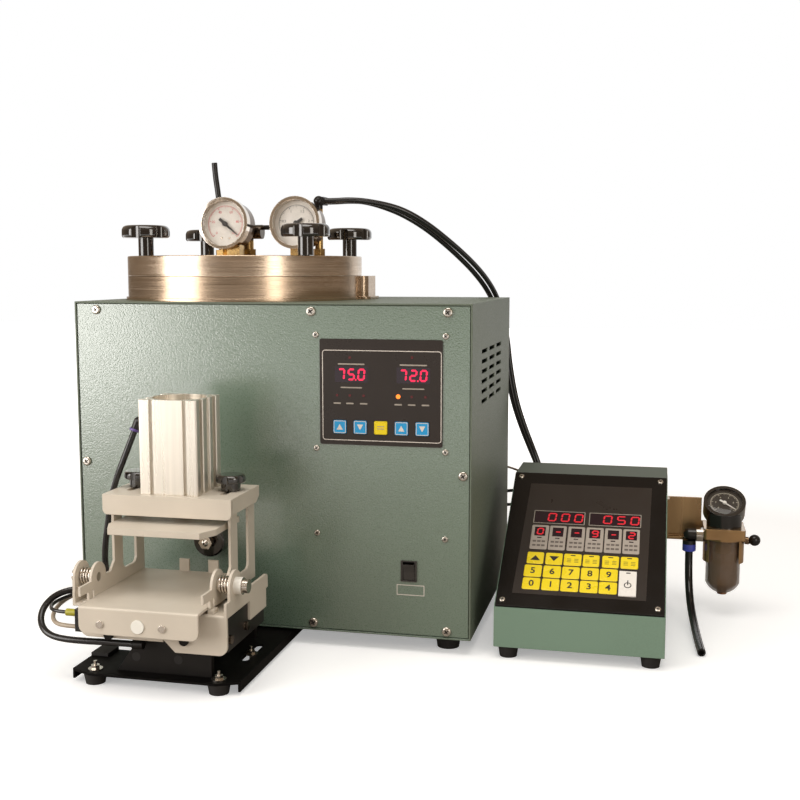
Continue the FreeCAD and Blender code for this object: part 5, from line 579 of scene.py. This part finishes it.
class Ink:
    """Thin raised shapes on a face, gathered into one piece."""

    def __init__(self, face, lift=0.0, thick=0.12):
        self.face, self.lift, self.thick = face, lift, thick
        self.bm = bmesh.new()

    def layers(self, loops):
        """Closed solid through loops of (points, lift), from the lowest to the highest."""
        skin(self.bm, [[self.face.at(u, v, self.lift + h) for u, v in points] for points, h in loops])

    def shape(self, points):
        turn = sum(a[0] * b[1] - b[0] * a[1] for a, b in zip(points, points[1:] + points[:1]))
        points = points if turn > 0 else points[::-1]
        self.layers([(points, 0.0), (points, self.thick)])

    def pad(self, u0, v0, u1, v1, corner, inset):
        """A raised plate with its edge rounded over."""
        outer, mid, inner = [rounded_box(u0 + step, v0 + step, u1 - step, v1 - step, corner)
                             for step in (0.0, inset * 0.3, inset)]
        self.layers([(outer, 0.0), (outer, self.thick * 0.4), (mid, self.thick * 0.8), (inner, self.thick)])

    def box(self, u0, v0, u1, v1, corner=0.0):
        self.shape(rounded_box(u0, v0, u1, v1, corner))

    def disc(self, u, v, radius, sides=28):
        self.shape(circle(radius, sides, u, v))

    def band(self, outer, inner):
        """A closed band between two loops."""
        self.strip(outer + outer[:1], inner + inner[:1])

    def outline(self, u0, v0, u1, v1, corner, width):
        outer = rounded_box(u0, v0, u1, v1, corner)
        inner = rounded_box(u0 + width, v0 + width, u1 - width, v1 - width, max(corner - width, 0.01))
        self.band(outer, inner)

    def strip(self, outer, inner):
        """Pieces between two lines, one after the other."""
        for i in range(len(outer) - 1):
            self.shape([outer[i], outer[i + 1], inner[i + 1], inner[i]])

    def arc(self, radius, width, a0, a1, steps=48):
        angles = [math.radians(a0 + (a1 - a0) * i / steps) for i in range(steps + 1)]
        outer = [((radius + width) * math.cos(a), (radius + width) * math.sin(a)) for a in angles]
        inner = [(radius * math.cos(a), radius * math.sin(a)) for a in angles]
        self.strip(inner, outer)

    def tick(self, angle, r0, r1, width):
        a = math.radians(angle)
        c, s, h = math.cos(a), math.sin(a), width / 2
        self.shape([(c * r0 + s * h, s * r0 - c * h), (c * r1 + s * h, s * r1 - c * h),
                    (c * r1 - s * h, s * r1 + c * h), (c * r0 - s * h, s * r0 + c * h)])

    def text(self, words, u, v, size, bold=0.0):
        """Plain figures, centred on a point."""
        curve = bpy.data.curves.new("figures", "FONT")
        curve.offset = bold
        curve.body, curve.size, curve.align_x, curve.align_y = words, size, "CENTER", "CENTER"
        curve.extrude, curve.resolution_u = self.thick / 2, 3
        mesh = meshed(curve)
        for vertex in mesh.vertices:
            p = vertex.co.copy()
            vertex.co = self.face.at(u + p.x, v + p.y, self.lift + p.z + self.thick / 2)
        self.bm.from_mesh(mesh)
        bpy.data.meshes.remove(mesh)

    def digit(self, mark, u, v, width, height, stroke, slant=0.08):
        """A seven-segment figure with its lower left corner at (u, v)."""
        w, h, t, mid, g = width, height, stroke / 2, height / 2, stroke * 0.12
        ends = {"a": ((t, h - t), (w - t, h - t)), "g": ((t, mid), (w - t, mid)), "d": ((t, t), (w - t, t)),
                "b": ((w - t, mid), (w - t, h - t)), "c": ((w - t, t), (w - t, mid)),
                "e": ((t, t), (t, mid)), "f": ((t, mid), (t, h - t))}
        for segment in SEGMENTS[mark]:
            (x0, y0), (x1, y1) = ends[segment]
            if y0 == y1:
                pts = [(x0 + g, y0), (x0 + t, y0 - t), (x1 - t, y0 - t),
                       (x1 - g, y0), (x1 - t, y0 + t), (x0 + t, y0 + t)]
            else:
                pts = [(x0, y0 + g), (x0 + t, y0 + t), (x0 + t, y1 - t),
                       (x0, y1 - g), (x0 - t, y1 - t), (x0 - t, y0 + t)]
            self.shape([(u + px + slant * py, v + py) for px, py in pts])

    def number(self, marks, u0, u1, v0, v1, stroke, gap):
        """A row of figures that fills the box; a full stop follows its figure."""
        figures = marks.replace(".", "")
        width = (u1 - u0 - gap * (len(figures) - 1)) / len(figures)
        count = 0
        for mark in marks:
            if mark == ".":
                u = u0 + count * (width + gap) - gap * 0.55
                self.box(u - stroke * 0.4, v0, u + stroke * 0.4, v0 + stroke * 0.8)
                continue
            self.digit(mark, u0 + count * (width + gap), v0, width, v1 - v0, stroke)
            count += 1

    def piece(self, name, material, body="base", slot="panel_film"):
        return placed(name, mesh_of(name, self.bm), material, body)


def lathe(name, profile, start, axis, material, body, sides=40):
    """A turned piece: profile is (radius, distance along the axis) in millimetres."""
    bm = bmesh.new()
    turn = Z.rotation_difference(axis.normalized()).to_matrix()
    skin(bm, [[start + turn @ Vector((u, v, along)) * MM for u, v in circle(radius, sides)]
              for radius, along in profile])
    piece = placed(name, mesh_of(name, bm), material, body, smooth=True)
    piece.data.set_sharp_from_angle(angle=math.radians(35))


# ---- marks on the cabinet and the controller; SUNK is how deep a print's foot reaches into what carries it
SUNK = 0.02
DISPLAYS = ((284.5, "75.0"), (344.5, "72.0"))
LAMP_XS, LAMP_Z, LIT_X = (270.6, 283.1, 296.6, 343.0, 356.1), 246.5, 330.0
SMALL_LAMPS = ((283.1, 282.4), (343.3, 283.4))
INDICATORS = ((25.8, 42.7), (43.7, 60.2), (61.9, 78.4), (79.6, 96.6), (97.9, 114.2), (115.5, 131.6))
TOP_KEYS = ((24.9, 41.1), (42.9, 59.2), (60.6, 77.5), (78.8, 94.5), (97.1, 113.0), (114.6, 131.1))
FIGURE_KEYS = (24.0, 42.3, 60.2, 78.2, 95.9)
FIGURE_ROWS = ((38.8, 54.3, "56789"), (22.7, 37.6, "01234"))


def cabinet_panel():
    """Border, legends, displays and lamps of the cabinet's control film."""
    lines, legends = Ink(CABINET, -SUNK), Ink(CABINET, -SUNK)
    windows, digits = Ink(CABINET, -SUNK, 0.1), Ink(CABINET, 0.06)
    off, on = Ink(CABINET, -SUNK, 0.3), Ink(CABINET, -SUNK, 0.3)
    lines.outline(256.0, 203.4, 371.4, 289.5, 3.0, 0.7)
    for x, value in DISPLAYS:
        legends.box(x - 13.0, 275.6, x + 13.0, 276.9, 0.5)
        legends.box(x - 10.5, 253.4, x + 10.5, 254.6, 0.5)
        windows.box(x - 16.0, 259.0, x + 16.0, 274.0, 1.0)
        digits.number(value, x - 13.9, x + 13.1, 260.8, 272.2, 1.8, 2.4)
    for x in (*LAMP_XS, LIT_X):
        legends.box(x - 3.6, 238.2, x + 3.6, 239.6, 0.5)
    for x, z in SMALL_LAMPS + tuple((x, LAMP_Z) for x in LAMP_XS):
        off.disc(x, z, 1.35)
    on.disc(LIT_X, LAMP_Z, 2.1)
    lines.piece("panel_line", "white_ink")
    legends.piece("panel_legend_bars", "grey_ink")
    windows.piece("panel_windows", "dark_window")
    digits.piece("panel_digits", "display_red")
    off.piece("panel_lamps", "lamp_off")
    on.piece("panel_lamp_lit", "lamp_on")


def key_marks():
    """The sign and border on each of the cabinet's keys."""
    for i, sign in enumerate(("up", "down", "bars", "up", "down")):
        x, number = KEY_X1 + KEY_STEP * i, i + 1
        face, border = Ink(KEYS, -SUNK), Ink(KEYS, -SUNK, 0.06)
        border.outline(x - 5.9, 210.5, x + 5.9, 222.3, 0.9, 0.55)
        if sign == "bars":
            for v in (215.2, 217.4):
                face.box(x - 3.4, v, x + 3.4, v + 0.7, 0.3)
            sign_ink, border_ink, slot = "grey_ink", "key_yellow", "key_yellow"
        else:
            tip = 2.7 if sign == "up" else -2.7
            face.shape([(x - 3.0, KEY_Z - tip), (x + 3.0, KEY_Z - tip), (x, KEY_Z + tip)])
            sign_ink, border_ink, slot = "white_ink", "white_ink", "key_blue"
        face.piece(f"key_mark_{number}", sign_ink, f"key_{number}", slot)
        border.piece(f"key_border_{number}", border_ink, f"key_{number}", slot)


def switch_marks():
    """The I and O on the rocker's two halves, and the line round its frame."""
    rest = Matrix.Rotation(ROCKER_REST, 3, "X")
    centre = at(*ROCKER) + rest @ Vector((0, ROCKER_FACE, 0)) * MM
    for name, side in (("rocker_on_mark", 1), ("rocker_off_mark", -1)):
        lean = Matrix.Rotation(-side * math.atan2(1.082, 7.7), 3, "X")
        mark = Ink(Face(centre, X, rest @ (lean @ Z)), 0.0, 0.1)
        if side > 0:
            mark.box(-1.6, 3.6, 1.6, 4.2)
        else:
            mark.band(circle(1.75, 24, v=-3.6), circle(1.2, 24, v=-3.6))
        mark.piece(name, "white_ink", "rocker", "gloss_black")
    plate = Ink(Face(at(0, 0, 0), X, Z), -SUNK)
    plate.outline(328.3, 55.5, 355.3, 65.8, 0.6, 0.7)
    plate.piece("switch_plate_line", "white_ink")


def controller_displays():
    """Printed film, open round the START key, with two displays."""
    film = Ink(CONTROLLER, FACE_T - SUNK, 0.22)
    hole = rounded_box(START_U - START_HALF_U, START_V - START_HALF_V,
                       START_U + START_HALF_U, START_V + START_HALF_V)
    film.band([(15.4, 17.2), (139.4, 17.2), (141.9, 169.4), (18.4, 169.4)], hole)
    lines = Ink(CONTROLLER, FILM_TOP, 0.08)
    for u0, u1 in ((26.0, 77.2), (81.3, 132.4)):
        lines.outline(u0, 111.6, u1, 129.6, 0.8, 0.7)
    windows = Ink(CONTROLLER, FILM_TOP - SUNK, 0.08)
    digits = Ink(CONTROLLER, FILM_TOP + 0.04, 0.1)
    for u0, u1, value in ((39.8, 75.0, "000"), (94.8, 130.4, "050")):
        windows.box(u0 - 12.4, 113.0, u1 + 0.8, 128.2, 0.4)
        digits.number(value, u0, u1, 114.8, 126.6, 1.6, 4.4)
    film.piece("controller_film", "panel_film")
    lines.piece("controller_display_lines", "grey_ink")
    windows.piece("controller_windows", "dark_window")
    digits.piece("controller_digits", "controller_red")


def controller_indicators():
    """Six indicators, each with a small figure and two legends of three plain bars."""
    plates = Ink(CONTROLLER, FILM_TOP - SUNK, 0.4)
    marks = Ink(CONTROLLER, FILM_TOP + 0.36, 0.08)
    small = Ink(CONTROLLER, FILM_TOP + 0.3, 0.1)
    figures = Ink(CONTROLLER, FILM_TOP + 0.4, 0.1)
    for (u0, u1), value in zip(INDICATORS, "0--9-2"):
        mid = (u0 + u1) / 2
        plates.pad(u0, 75.4, u1, 108.6, 1.6, 0.6)
        small.box(mid - 5.4, 93.6, mid + 5.4, 105.9, 0.4)
        figures.digit(value, mid - 3.4, 95.2, 6.8, 9.2, 1.5)
        small.box(mid - 2.2, 90.4, mid + 2.2, 91.8, 0.3)
        for v in (84.9, 79.4):
            for bar in (mid - 4.4, mid, mid + 4.4):
                marks.box(bar - 1.7, v, bar + 1.7, v + 2.4, 0.4)
    plates.piece("controller_indicators", "indicator_grey")
    marks.piece("controller_indicator_marks", "faded_ink")
    small.piece("controller_indicator_windows", "dark_window")
    figures.piece("controller_indicator_digits", "controller_red")


def controller_keys():
    """The membrane keys: two with arrows, four with bars and ten with figures."""
    keys = Ink(CONTROLLER, FILM_TOP - SUNK, 0.5)
    signs = Ink(CONTROLLER, FILM_TOP + 0.46, 0.1)
    faint = Ink(CONTROLLER, FILM_TOP + 0.46, 0.1)
    for i, (u0, u1) in enumerate(TOP_KEYS):
        mid = (u0 + u1) / 2
        keys.pad(u0, 55.8, u1, 71.3, 1.8, 0.6)
        if i < 2:
            tip = 3.2 if i == 0 else -3.2
            signs.shape([(mid - 4.8, 63.5 - tip), (mid + 4.8, 63.5 - tip), (mid, 63.5 + tip)])
            continue
        signs.box(mid - 2.3, 68.4, mid + 2.3, 69.6, 0.3)
        for bar in (mid - 3.5, mid + 3.5):
            for v in (60.0, 61.9, 63.8):
                faint.box(bar - 2.1, v, bar + 2.1, v + 0.8, 0.3)
    for v0, v1, row in FIGURE_ROWS:
        for u0, value in zip(FIGURE_KEYS, row):
            keys.pad(u0 - 0.2, v0, u0 + 16.6, v1, 1.8, 0.6)
            signs.text(value, u0 + 8.2, (v0 + v1) / 2, 10.2, 0.22)
    keys.piece("controller_keys", "key_yellow", slot="key_yellow")
    signs.piece("controller_key_signs", "black_ink", slot="key_yellow")
    faint.piece("controller_key_bars", "olive_ink", slot="key_yellow")


def start_sign():
    """A dash and a ring with a stem, printed on the START key."""
    start = Ink(CONTROLLER, FACE_T + 0.98, 0.1)
    start.box(120.2, START_V + 12.6, 124.4, START_V + 13.8, 0.4)
    start.outline(118.6, START_V - 5.6, 125.6, START_V + 1.4, 3.4, 0.9)
    start.box(121.6, START_V - 1.8, 122.6, START_V + 4.0, 0.2)
    start.piece("start_sign", "black_ink", "start_button", "key_white")


def dial(name, face, radius, depth, figures, scale_ink, body, paper, size=3.7, start=225.0, sweep=270.0):
    """A printed dial: an arc with its divisions and plain figures."""
    card = Ink(face, -depth - SUNK, 0.2)
    card.disc(0, 0, radius, 64)
    card.piece(name + "_dial", paper, body, "needle_white")
    marks = Ink(face, -depth + 0.16, 0.08)
    arc_r = radius * 0.8
    marks.arc(arc_r, 0.35, start - sweep, start)
    figures = figures.split()
    steps = (len(figures) - 1) * 10
    for i in range(steps + 1):
        long, wide = (2.6, 0.5) if i % 10 == 0 else (1.9, 0.28) if i % 5 == 0 else (1.2, 0.28)
        marks.tick(start - sweep * i / steps, arc_r - long, arc_r, wide)
    for i, value in enumerate(figures):
        a = math.radians(start - sweep * i / (len(figures) - 1))
        marks.text(value, (arc_r - 5.2) * math.cos(a), (arc_r - 5.2) * math.sin(a), size)
    marks.piece(name + "_scale", scale_ink, body, "needle_black")


def gauge_dials():
    """The three dials, two screws on the vacuum dial, and the regulator gauge's lens."""
    vacuum, pressure = DIALS
    dial("vacuum", vacuum, 23.4, 6.5, "0 20 40 60 80 100", "red_ink", "lid", "dial_paper")
    dial("pressure", pressure, 23.4, 6.5, "0 0.5 1 1.5 2 2.5", "black_ink", "lid", "dial_paper")
    dial("regulator", REG_DIAL, 17.8, 4.0, "0 2 4 6 8 10", "dial_light", "base", "dial_dark", 3.0)
    for number, u in ((1, -3.9), (2, 4.5)):
        lathe(f"dial_screw_{number}", [(1.3, 0.0), (1.3, 0.4), (0.9, 0.8), (0.3, 0.95)],
              vacuum.at(u, -14.6, -6.3), vacuum.out, "steel", "lid", 20)
    lathe("regulator_lens", [(17.6, 0.0), (17.6, 0.5), (16.0, 1.0), (9.0, 1.4), (0.5, 1.5)],
          REG_DIAL.at(0, 0, -1.2), REG_DIAL.out, "clear_glass", "base", 56)


def screw_slots():
    """A cross recess in each screw head in the panels and the controller's face, as a plate of painted
    shade.
    """
    one_screw = 0.013       # metres; points closer than this are on the same screw
    proud = 0.0005
    screws = []
    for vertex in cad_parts["cabinet_screws"].data.vertices:
        p = vertex.co
        for screw in screws:
            if (screw[0] - p).length < one_screw:
                screw.append(p)
                break
        else:
            screws.append([p])
    bm = bmesh.new()
    for screw in screws:
        lo = Vector([min(p[i] for p in screw) for i in range(3)])
        hi = Vector([max(p[i] for p in screw) for i in range(3)])
        mid, head = (lo + hi) / 2, (hi.x - lo.x) / 2 / MM
        proud_front, proud_back = at(0, 0, 0).y - lo.y, hi.y - at(0, CAB_D, 0).y
        on_cabinet = mid.z > 0.02 and mid.x < at(CAB_W + 1, 0, 0).x and lo.y > at(0, -9, 0).y
        if proud_front > proud and on_cabinet:
            cross(bm, Face(Vector((mid.x, lo.y, mid.z)), X, Z), head)
        elif proud_back > proud:
            cross(bm, Face(Vector((mid.x, hi.y, mid.z)), -X, Z), head)
    for u in (CTRL_SCREW_U, CTRL_W - CTRL_SCREW_U):
        for v in (CTRL_SCREW_V, SLOPE_L - CTRL_SCREW_V):
            cross(bm, Face(CONTROLLER.at(u, v, FACE_T + SCREW_HEAD_H), X, CONTROLLER.up), 3.0)
    # the plates carry painted shade for the recesses
    placed("screw_recesses", mesh_of("screw_recesses", bm), "painted_recess_shade", "base")


def cross(bm, face, head):
    """A plus-shaped plate let into the top of a head, dark with the painted shade of the recess."""
    r, w = head * 0.5, head * 0.13
    arms = [(w, w), (w, r), (-w, r), (-w, w), (-r, w), (-r, -w),
            (-w, -w), (-w, -r), (w, -r), (w, -w), (r, -w), (r, w)]
    arms = [(0.8 * a - 0.6 * b, 0.6 * a + 0.8 * b) for a, b in arms]
    skin(bm, [[face.at(a, b, lift) for a, b in arms] for lift in (-0.4, 0.03)])


# ------------------------------------------------------------------ hoses
LID_HOSE_A = (
    (221, 128.5, 436.6), (233, 128.5, 436.6), (246.5, 133, 437.6),
    (264, 141, 436.6), (290.3, 152, 431.2), (308, 161, 423.3),
    (325.1, 173, 411.5), (338.7, 188, 399.2), (351.9, 207, 385.8),
    (365, 230, 370.1), (376.5, 252.5, 352.4), (385, 270, 332.7),
    (391, 279, 308), (395.5, 283, 284), (398, 283.5, 260),
    (402, 283, 235), (407.5, 281.5, 210.5), (416, 279.5, 185.5),
    (426, 275, 162), (434.5, 266, 144.5), (440, 252.5, 133.5),
    (441.5, 239, 131), (441.5, 231.3, 131))
LID_HOSE_B = (
    (221, 135.2, 435.8), (232, 135.2, 435.8), (244.5, 139.5, 436.9),
    (261.5, 147.8, 436.4), (287, 158.8, 428), (304.5, 167.8, 418.9),
    (321, 179.8, 407.3), (334.5, 195, 394.7), (347.5, 214, 380.7),
    (360.8, 237, 364.1), (372, 259, 346), (380, 276.5, 326.3),
    (385.5, 286, 304), (389.5, 290.5, 279), (392.5, 291.5, 254),
    (397, 291, 229), (403.5, 289.5, 204.5), (412.5, 287.5, 180),
    (423.5, 283, 156), (433.5, 273.5, 137), (440, 258.5, 124.5),
    (442, 241.5, 121), (442, 231.3, 121))
CLAMP_LOOP = (
    (56, -12, 44), (56, -26.5, 44), (58, -42, 47.5),
    (61, -57, 53), (64.5, -70, 59.5), (66, -82, 65),
    (64.5, -94, 70.5), (57.5, -105, 73.2), (45.5, -112, 73.4),
    (34.5, -118, 69), (28.5, -126, 61), (29.5, -134.5, 52.8),
    (36.5, -142.5, 46), (47, -147.3, 41.9), (61, -149, 40.3),
    (81, -148.5, 39.8), (104, -147, 40), (126, -147, 40))
CLAMP_SUPPLY = (
    (98.5, -76, 219), (94.2, -79, 205.5), (89.5, -81.5, 192.5),
    (83.4, -81.5, 178.5), (77, -79.5, 163.5), (71.9, -77.5, 148),
    (68.9, -76, 131.5), (65, -75, 113), (62.4, -73, 94),
    (62, -69, 76.5), (63.8, -59.5, 62), (67, -45, 50.5),
    (70, -27.5, 44), (70, -12, 44))
SENSOR_HOSE = (
    (75, -150, 53), (64, -150, 53), (52.8, -147, 53.2),
    (44.8, -139.5, 55.2), (40.2, -129, 58), (38.5, -116.5, 61),
    (40.3, -103, 63.5), (43.8, -89, 64.3), (46.8, -74, 62),
    (47.2, -58, 56), (45, -41.5, 48.7), (42, -26, 44),
    (42, -12, 44))
SENSOR_LEAD = (
    (65, -150, 65.5), (56, -150, 65.5), (47.3, -145.5, 65.7),
    (41.8, -136, 66), (40.8, -123.5, 66.4), (43.2, -110.5, 66.7),
    (47.5, -96.5, 66.9), (51.8, -80.5, 66.6), (55, -62, 65.4),
    (56.8, -41, 64), (58, -20, 63), (58, 0, 63))
LINK_HOSE_TOP = (
    (361, 266, 99), (361, 275, 99), (366, 285, 99.6),
    (377.5, 291, 100.8), (391.5, 293.2, 102.6), (406, 293, 104.4),
    (421, 290, 105.6), (434.5, 283.5, 106.2), (446, 272, 105.6),
    (452, 256, 104.4), (453, 241.5, 104), (453, 231.3, 104))
LINK_HOSE_LOW = (
    (375, 266, 86), (375, 275, 86), (380.5, 284.5, 86.3),
    (392.5, 289.5, 87), (406.5, 291.5, 87.8), (421, 291, 88.6),
    (436, 287, 89.2), (450, 279, 89), (460.5, 265.5, 88.4),
    (464.5, 250.5, 88), (465, 240, 88), (465, 231.3, 88))
LINK_WIRE = (
    (374, 266, 137.5), (374, 274, 137.5), (378.5, 281.5, 136.9),
    (388, 286, 135.2), (398.5, 287, 132.8), (409.5, 285, 129.8),
    (419.5, 279.5, 126.4), (426.5, 269, 124), (430, 255.5, 122.6),
    (430.5, 242, 122), (430.5, 231.3, 122))
SUPPLY_HOSE = (
    (604, 190, 70), (604, 190, 54), (604.4, 184, 36.5),
    (605.5, 169, 21.5), (607.5, 148, 11.5), (609.5, 123.5, 6.2),
    (611, 98, 4.3), (612.4, 72.5, 4.1), (613.9, 47.8, 4.05))


def smooth_line(points):
    """Points along the NURBS spline that has these control points."""
    curve = bpy.data.curves.new("route", "CURVE")
    curve.dimensions, curve.resolution_u = "3D", 10
    spline = curve.splines.new("NURBS")
    spline.points.add(len(points) - 1)
    for point, place in zip(spline.points, points):
        point.co = (*at(*place), 1.0)
    spline.order_u = 3
    spline.use_endpoint_u = True
    mesh = meshed(curve)
    line = [v.co.copy() for v in mesh.vertices]
    bpy.data.meshes.remove(mesh)
    return line


def tube_mesh(name, line, radius, bore=0.0, sides=16):
    """A round tube along a line. Its far end is open if it has a bore, and its other ends are closed."""
    bm = bmesh.new()
    ends = len(line) - 1
    tangents = [(line[min(i + 1, ends)] - line[max(i - 1, 0)]).normalized() for i in range(len(line))]
    side = tangents[0].orthogonal().normalized()
    rings = []

    def ring(point, size):
        return [point + (side * math.cos(a) + other * math.sin(a)) * size for a in turns(sides)]

    for point, tangent in zip(line, tangents):
        side = (side - tangent * side.dot(tangent)).normalized()
        other = tangent.cross(side)
        rings.append(ring(point, radius))
    if bore:
        rings.append(ring(line[-1], bore))
        rings.append(ring(line[-1] - tangents[-1] * radius * 2, bore))
    skin(bm, rings)
    return mesh_of(name, bm)


def hose(name, line, radius, node, material="hose_black",
         bodies=None, bore=0.0):
    """A hose along its line. Without bodies it rides on the base; with bodies it rides on none and its place
    is baked into its mesh, and the bodies and points in it are not read.
    """
    mesh = tube_mesh(name, line, radius * MM, bore * MM)
    piece = placed(name, mesh, material, None if bodies else "base", smooth=True)
    mesh.set_sharp_from_angle(angle=math.radians(50))
    if bodies:
        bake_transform(piece)
    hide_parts(node)


def hoses():
    for name, points in (("lid_hose_a", LID_HOSE_A), ("lid_hose_b", LID_HOSE_B)):
        hose(name, smooth_line(points), HOSE_R, "lid_hoses",
             bodies=("lid", "base", at(*points[2]), at(*points[10])))
    hose("clamp_loop", smooth_line(CLAMP_LOOP), HOSE_R, "clamp_hoses",
         bodies=("base", "carriage", at(56, -30, 44), at(40, -140, 50)))
    for name, points, radius, material in (("sensor_hose", SENSOR_HOSE, SMALL_HOSE_R, "hose_tan"),
                                           ("sensor_lead", SENSOR_LEAD, 1.6, "hose_black")):
        hose(name, smooth_line(points), radius, "clamp_hoses", material=material,
             bodies=("carriage", "base", at(*points[1]), at(*points[-2])))
    line = smooth_line(CLAMP_SUPPLY)
    cuts = [0, len(line) // 3, 2 * len(line) // 3, len(line) - 1]
    chain = ("top", "cradle", "carriage", "base")
    for i in range(3):
        part = line[cuts[i]:cuts[i + 1] + 1]
        hose(f"clamp_supply_{i + 1}", part, HOSE_R, "clamp_hoses",
             bodies=(chain[i], chain[i + 1], part[0], part[-1]))
    for name, points, radius, material in (("link_hose_top", LINK_HOSE_TOP, SMALL_HOSE_R, "hose_black"),
                                           ("link_hose_low", LINK_HOSE_LOW, SMALL_HOSE_R, "hose_black"),
                                           ("link_wire", LINK_WIRE, WIRE_R, "wire_brown")):
        hose(name, smooth_line(points), radius, "link_hoses", material=material)
    hose("supply_hose_line", smooth_line(SUPPLY_HOSE), SUPPLY_R, "supply_hose",
         bore=SUPPLY_BORE)


def collets():
    """The coloured release rings where hoses push into their fittings."""
    ring = [(3.0, 0.0), (6.6, 0.0), (7.0, 0.5), (7.0, 2.2), (6.2, 2.8), (3.0, 2.8)]
    lathe("supply_collet", ring, at(604.0, 190.0, 70.2), -Z, "collet_blue", "base")
    small = [(2.4, 0.0), (4.4, 0.0), (4.8, 0.4), (4.8, 1.8), (4.2, 2.3), (2.4, 2.3)]
    start, following = at(*CLAMP_SUPPLY[0]), at(*CLAMP_SUPPLY[1])
    lathe("barrel_collet", small, start, following - start, "collet_purple", "top")


cabinet_panel()
key_marks()
switch_marks()
controller_displays()
controller_indicators()
controller_keys()
start_sign()
gauge_dials()
screw_slots()
hoses()
collets()

# ------------------------------------------------------------------ stage, lights and camera


def white_floor():
    """A floor that is lit like the rest near the machine and turns plain white further away."""
    half, near, far, own_light = 6.0, 0.75, 1.7, 0.34
    mesh = bpy.data.meshes.new("floor")
    corners = [(-half, -half, 0), (half, -half, 0), (half, half, 0), (-half, half, 0)]
    mesh.from_pydata(corners, [], [(0, 1, 2, 3)])
    floor = bpy.data.objects.new("floor", mesh)
    scene.collection.objects.link(floor)
    f = Finish("floor_white", (0.88, 0.87, 0.86), 0.7, Emission_Strength=1.0)
    f.tone(0.02, 2.0)
    path = f.add("LightPath").outputs
    seen = f.calc("MAXIMUM", path["Is Camera Ray"], path["Is Transmission Ray"])
    distance = f.add("VectorMath", {0: f.where}, operation="LENGTH").outputs["Value"]
    level = f.mix_value(f.spread(distance, near, far), f.mix_value(seen, 0.0, own_light), 1.0)
    shown = f.calc("MULTIPLY", level, f.calc("MAXIMUM", seen, path["Is Glossy Ray"]))
    grey = f.add("CombineColor", {0: shown, 1: shown, 2: shown}).outputs[0]
    f.feed(f.shader.inputs["Emission Color"], grey)
    f.colour = f.mix(seen, (0.34, 0.30, 0.26, 1.0), f.colour)
    mesh.materials.append(f.made())


class Sky(Nodes):
    """The room around the machine, as world nodes."""

    def __init__(self):
        world = bpy.data.worlds.new("room")
        scene.world = world
        world.use_nodes = True
        self.tree = world.node_tree
        self.tree.nodes.clear()


def room():
    """White where the camera looks; mirrors see white behind the machine and a dim warm studio in front."""
    sky = Sky()
    path = sky.add("LightPath").outputs
    split = sky.split(sky.add("TexCoord").outputs["Generated"])
    white, dim, dark = (1, 1, 1, 1), (0.37, 0.285, 0.205, 1), (0.05, 0.035, 0.025, 1)
    studio = sky.mix(sky.spread(split["Z"], -0.35, 0.35), dark, dim)
    mirrored = sky.mix(sky.spread(split["Y"], 0.7, 0.95), studio, white)
    ambient = sky.mix(sky.spread(split["Z"], -0.3, 0.9), (0.12, 0.10, 0.08, 1), (0.62, 0.60, 0.57, 1))
    around = sky.mix(path["Is Glossy Ray"], ambient, mirrored)
    seen = sky.calc("MAXIMUM", path["Is Camera Ray"], path["Is Transmission Ray"])
    back = sky.add("Background", {0: sky.mix(seen, around, white)})
    sky.add("OutputWorld", {0: back.outputs[0]})


def lamp(name, place, target, size, height, energy, colour=(1, 1, 1)):
    data = bpy.data.lights.new(name, "AREA")
    data.shape, data.size, data.size_y, data.energy, data.color = "RECTANGLE", size, height, energy, colour
    light = bpy.data.objects.new(name, data)
    light.location = place
    light.rotation_euler = (Vector(target) - Vector(place)).to_track_quat("-Z", "Y").to_euler()
    scene.collection.objects.link(light)


white_floor()
room()
lamp("left_softbox", (-1.25, -1.1, 0.57), (-0.2, 0.0, 0.3), 1.0, 1.1, 17.5, (1.0, 0.97, 0.94))
lamp("top_softbox", (-0.1, -0.5, 1.9), (-0.05, 0.0, 0.1), 1.4, 1.0, 14.0, (1.0, 0.97, 0.93))
lamp("right_strip", (1.0, -1.05, 0.6), (0.0, 0.0, 0.3), 0.36, 1.0, 4.5, (1.0, 0.95, 0.88))

lens = bpy.data.cameras.new("view")
lens.lens, lens.sensor_width = 50.81, 36.0
camera = bpy.data.objects.new("view", lens)
camera.location = (0.22783, -1.07143, 0.36463)
camera.rotation_euler = (math.pi / 2 - 0.1148, 0.0, 0.2247)
scene.collection.objects.link(camera)
scene.camera = camera
scene.view_settings.view_transform = "Standard"
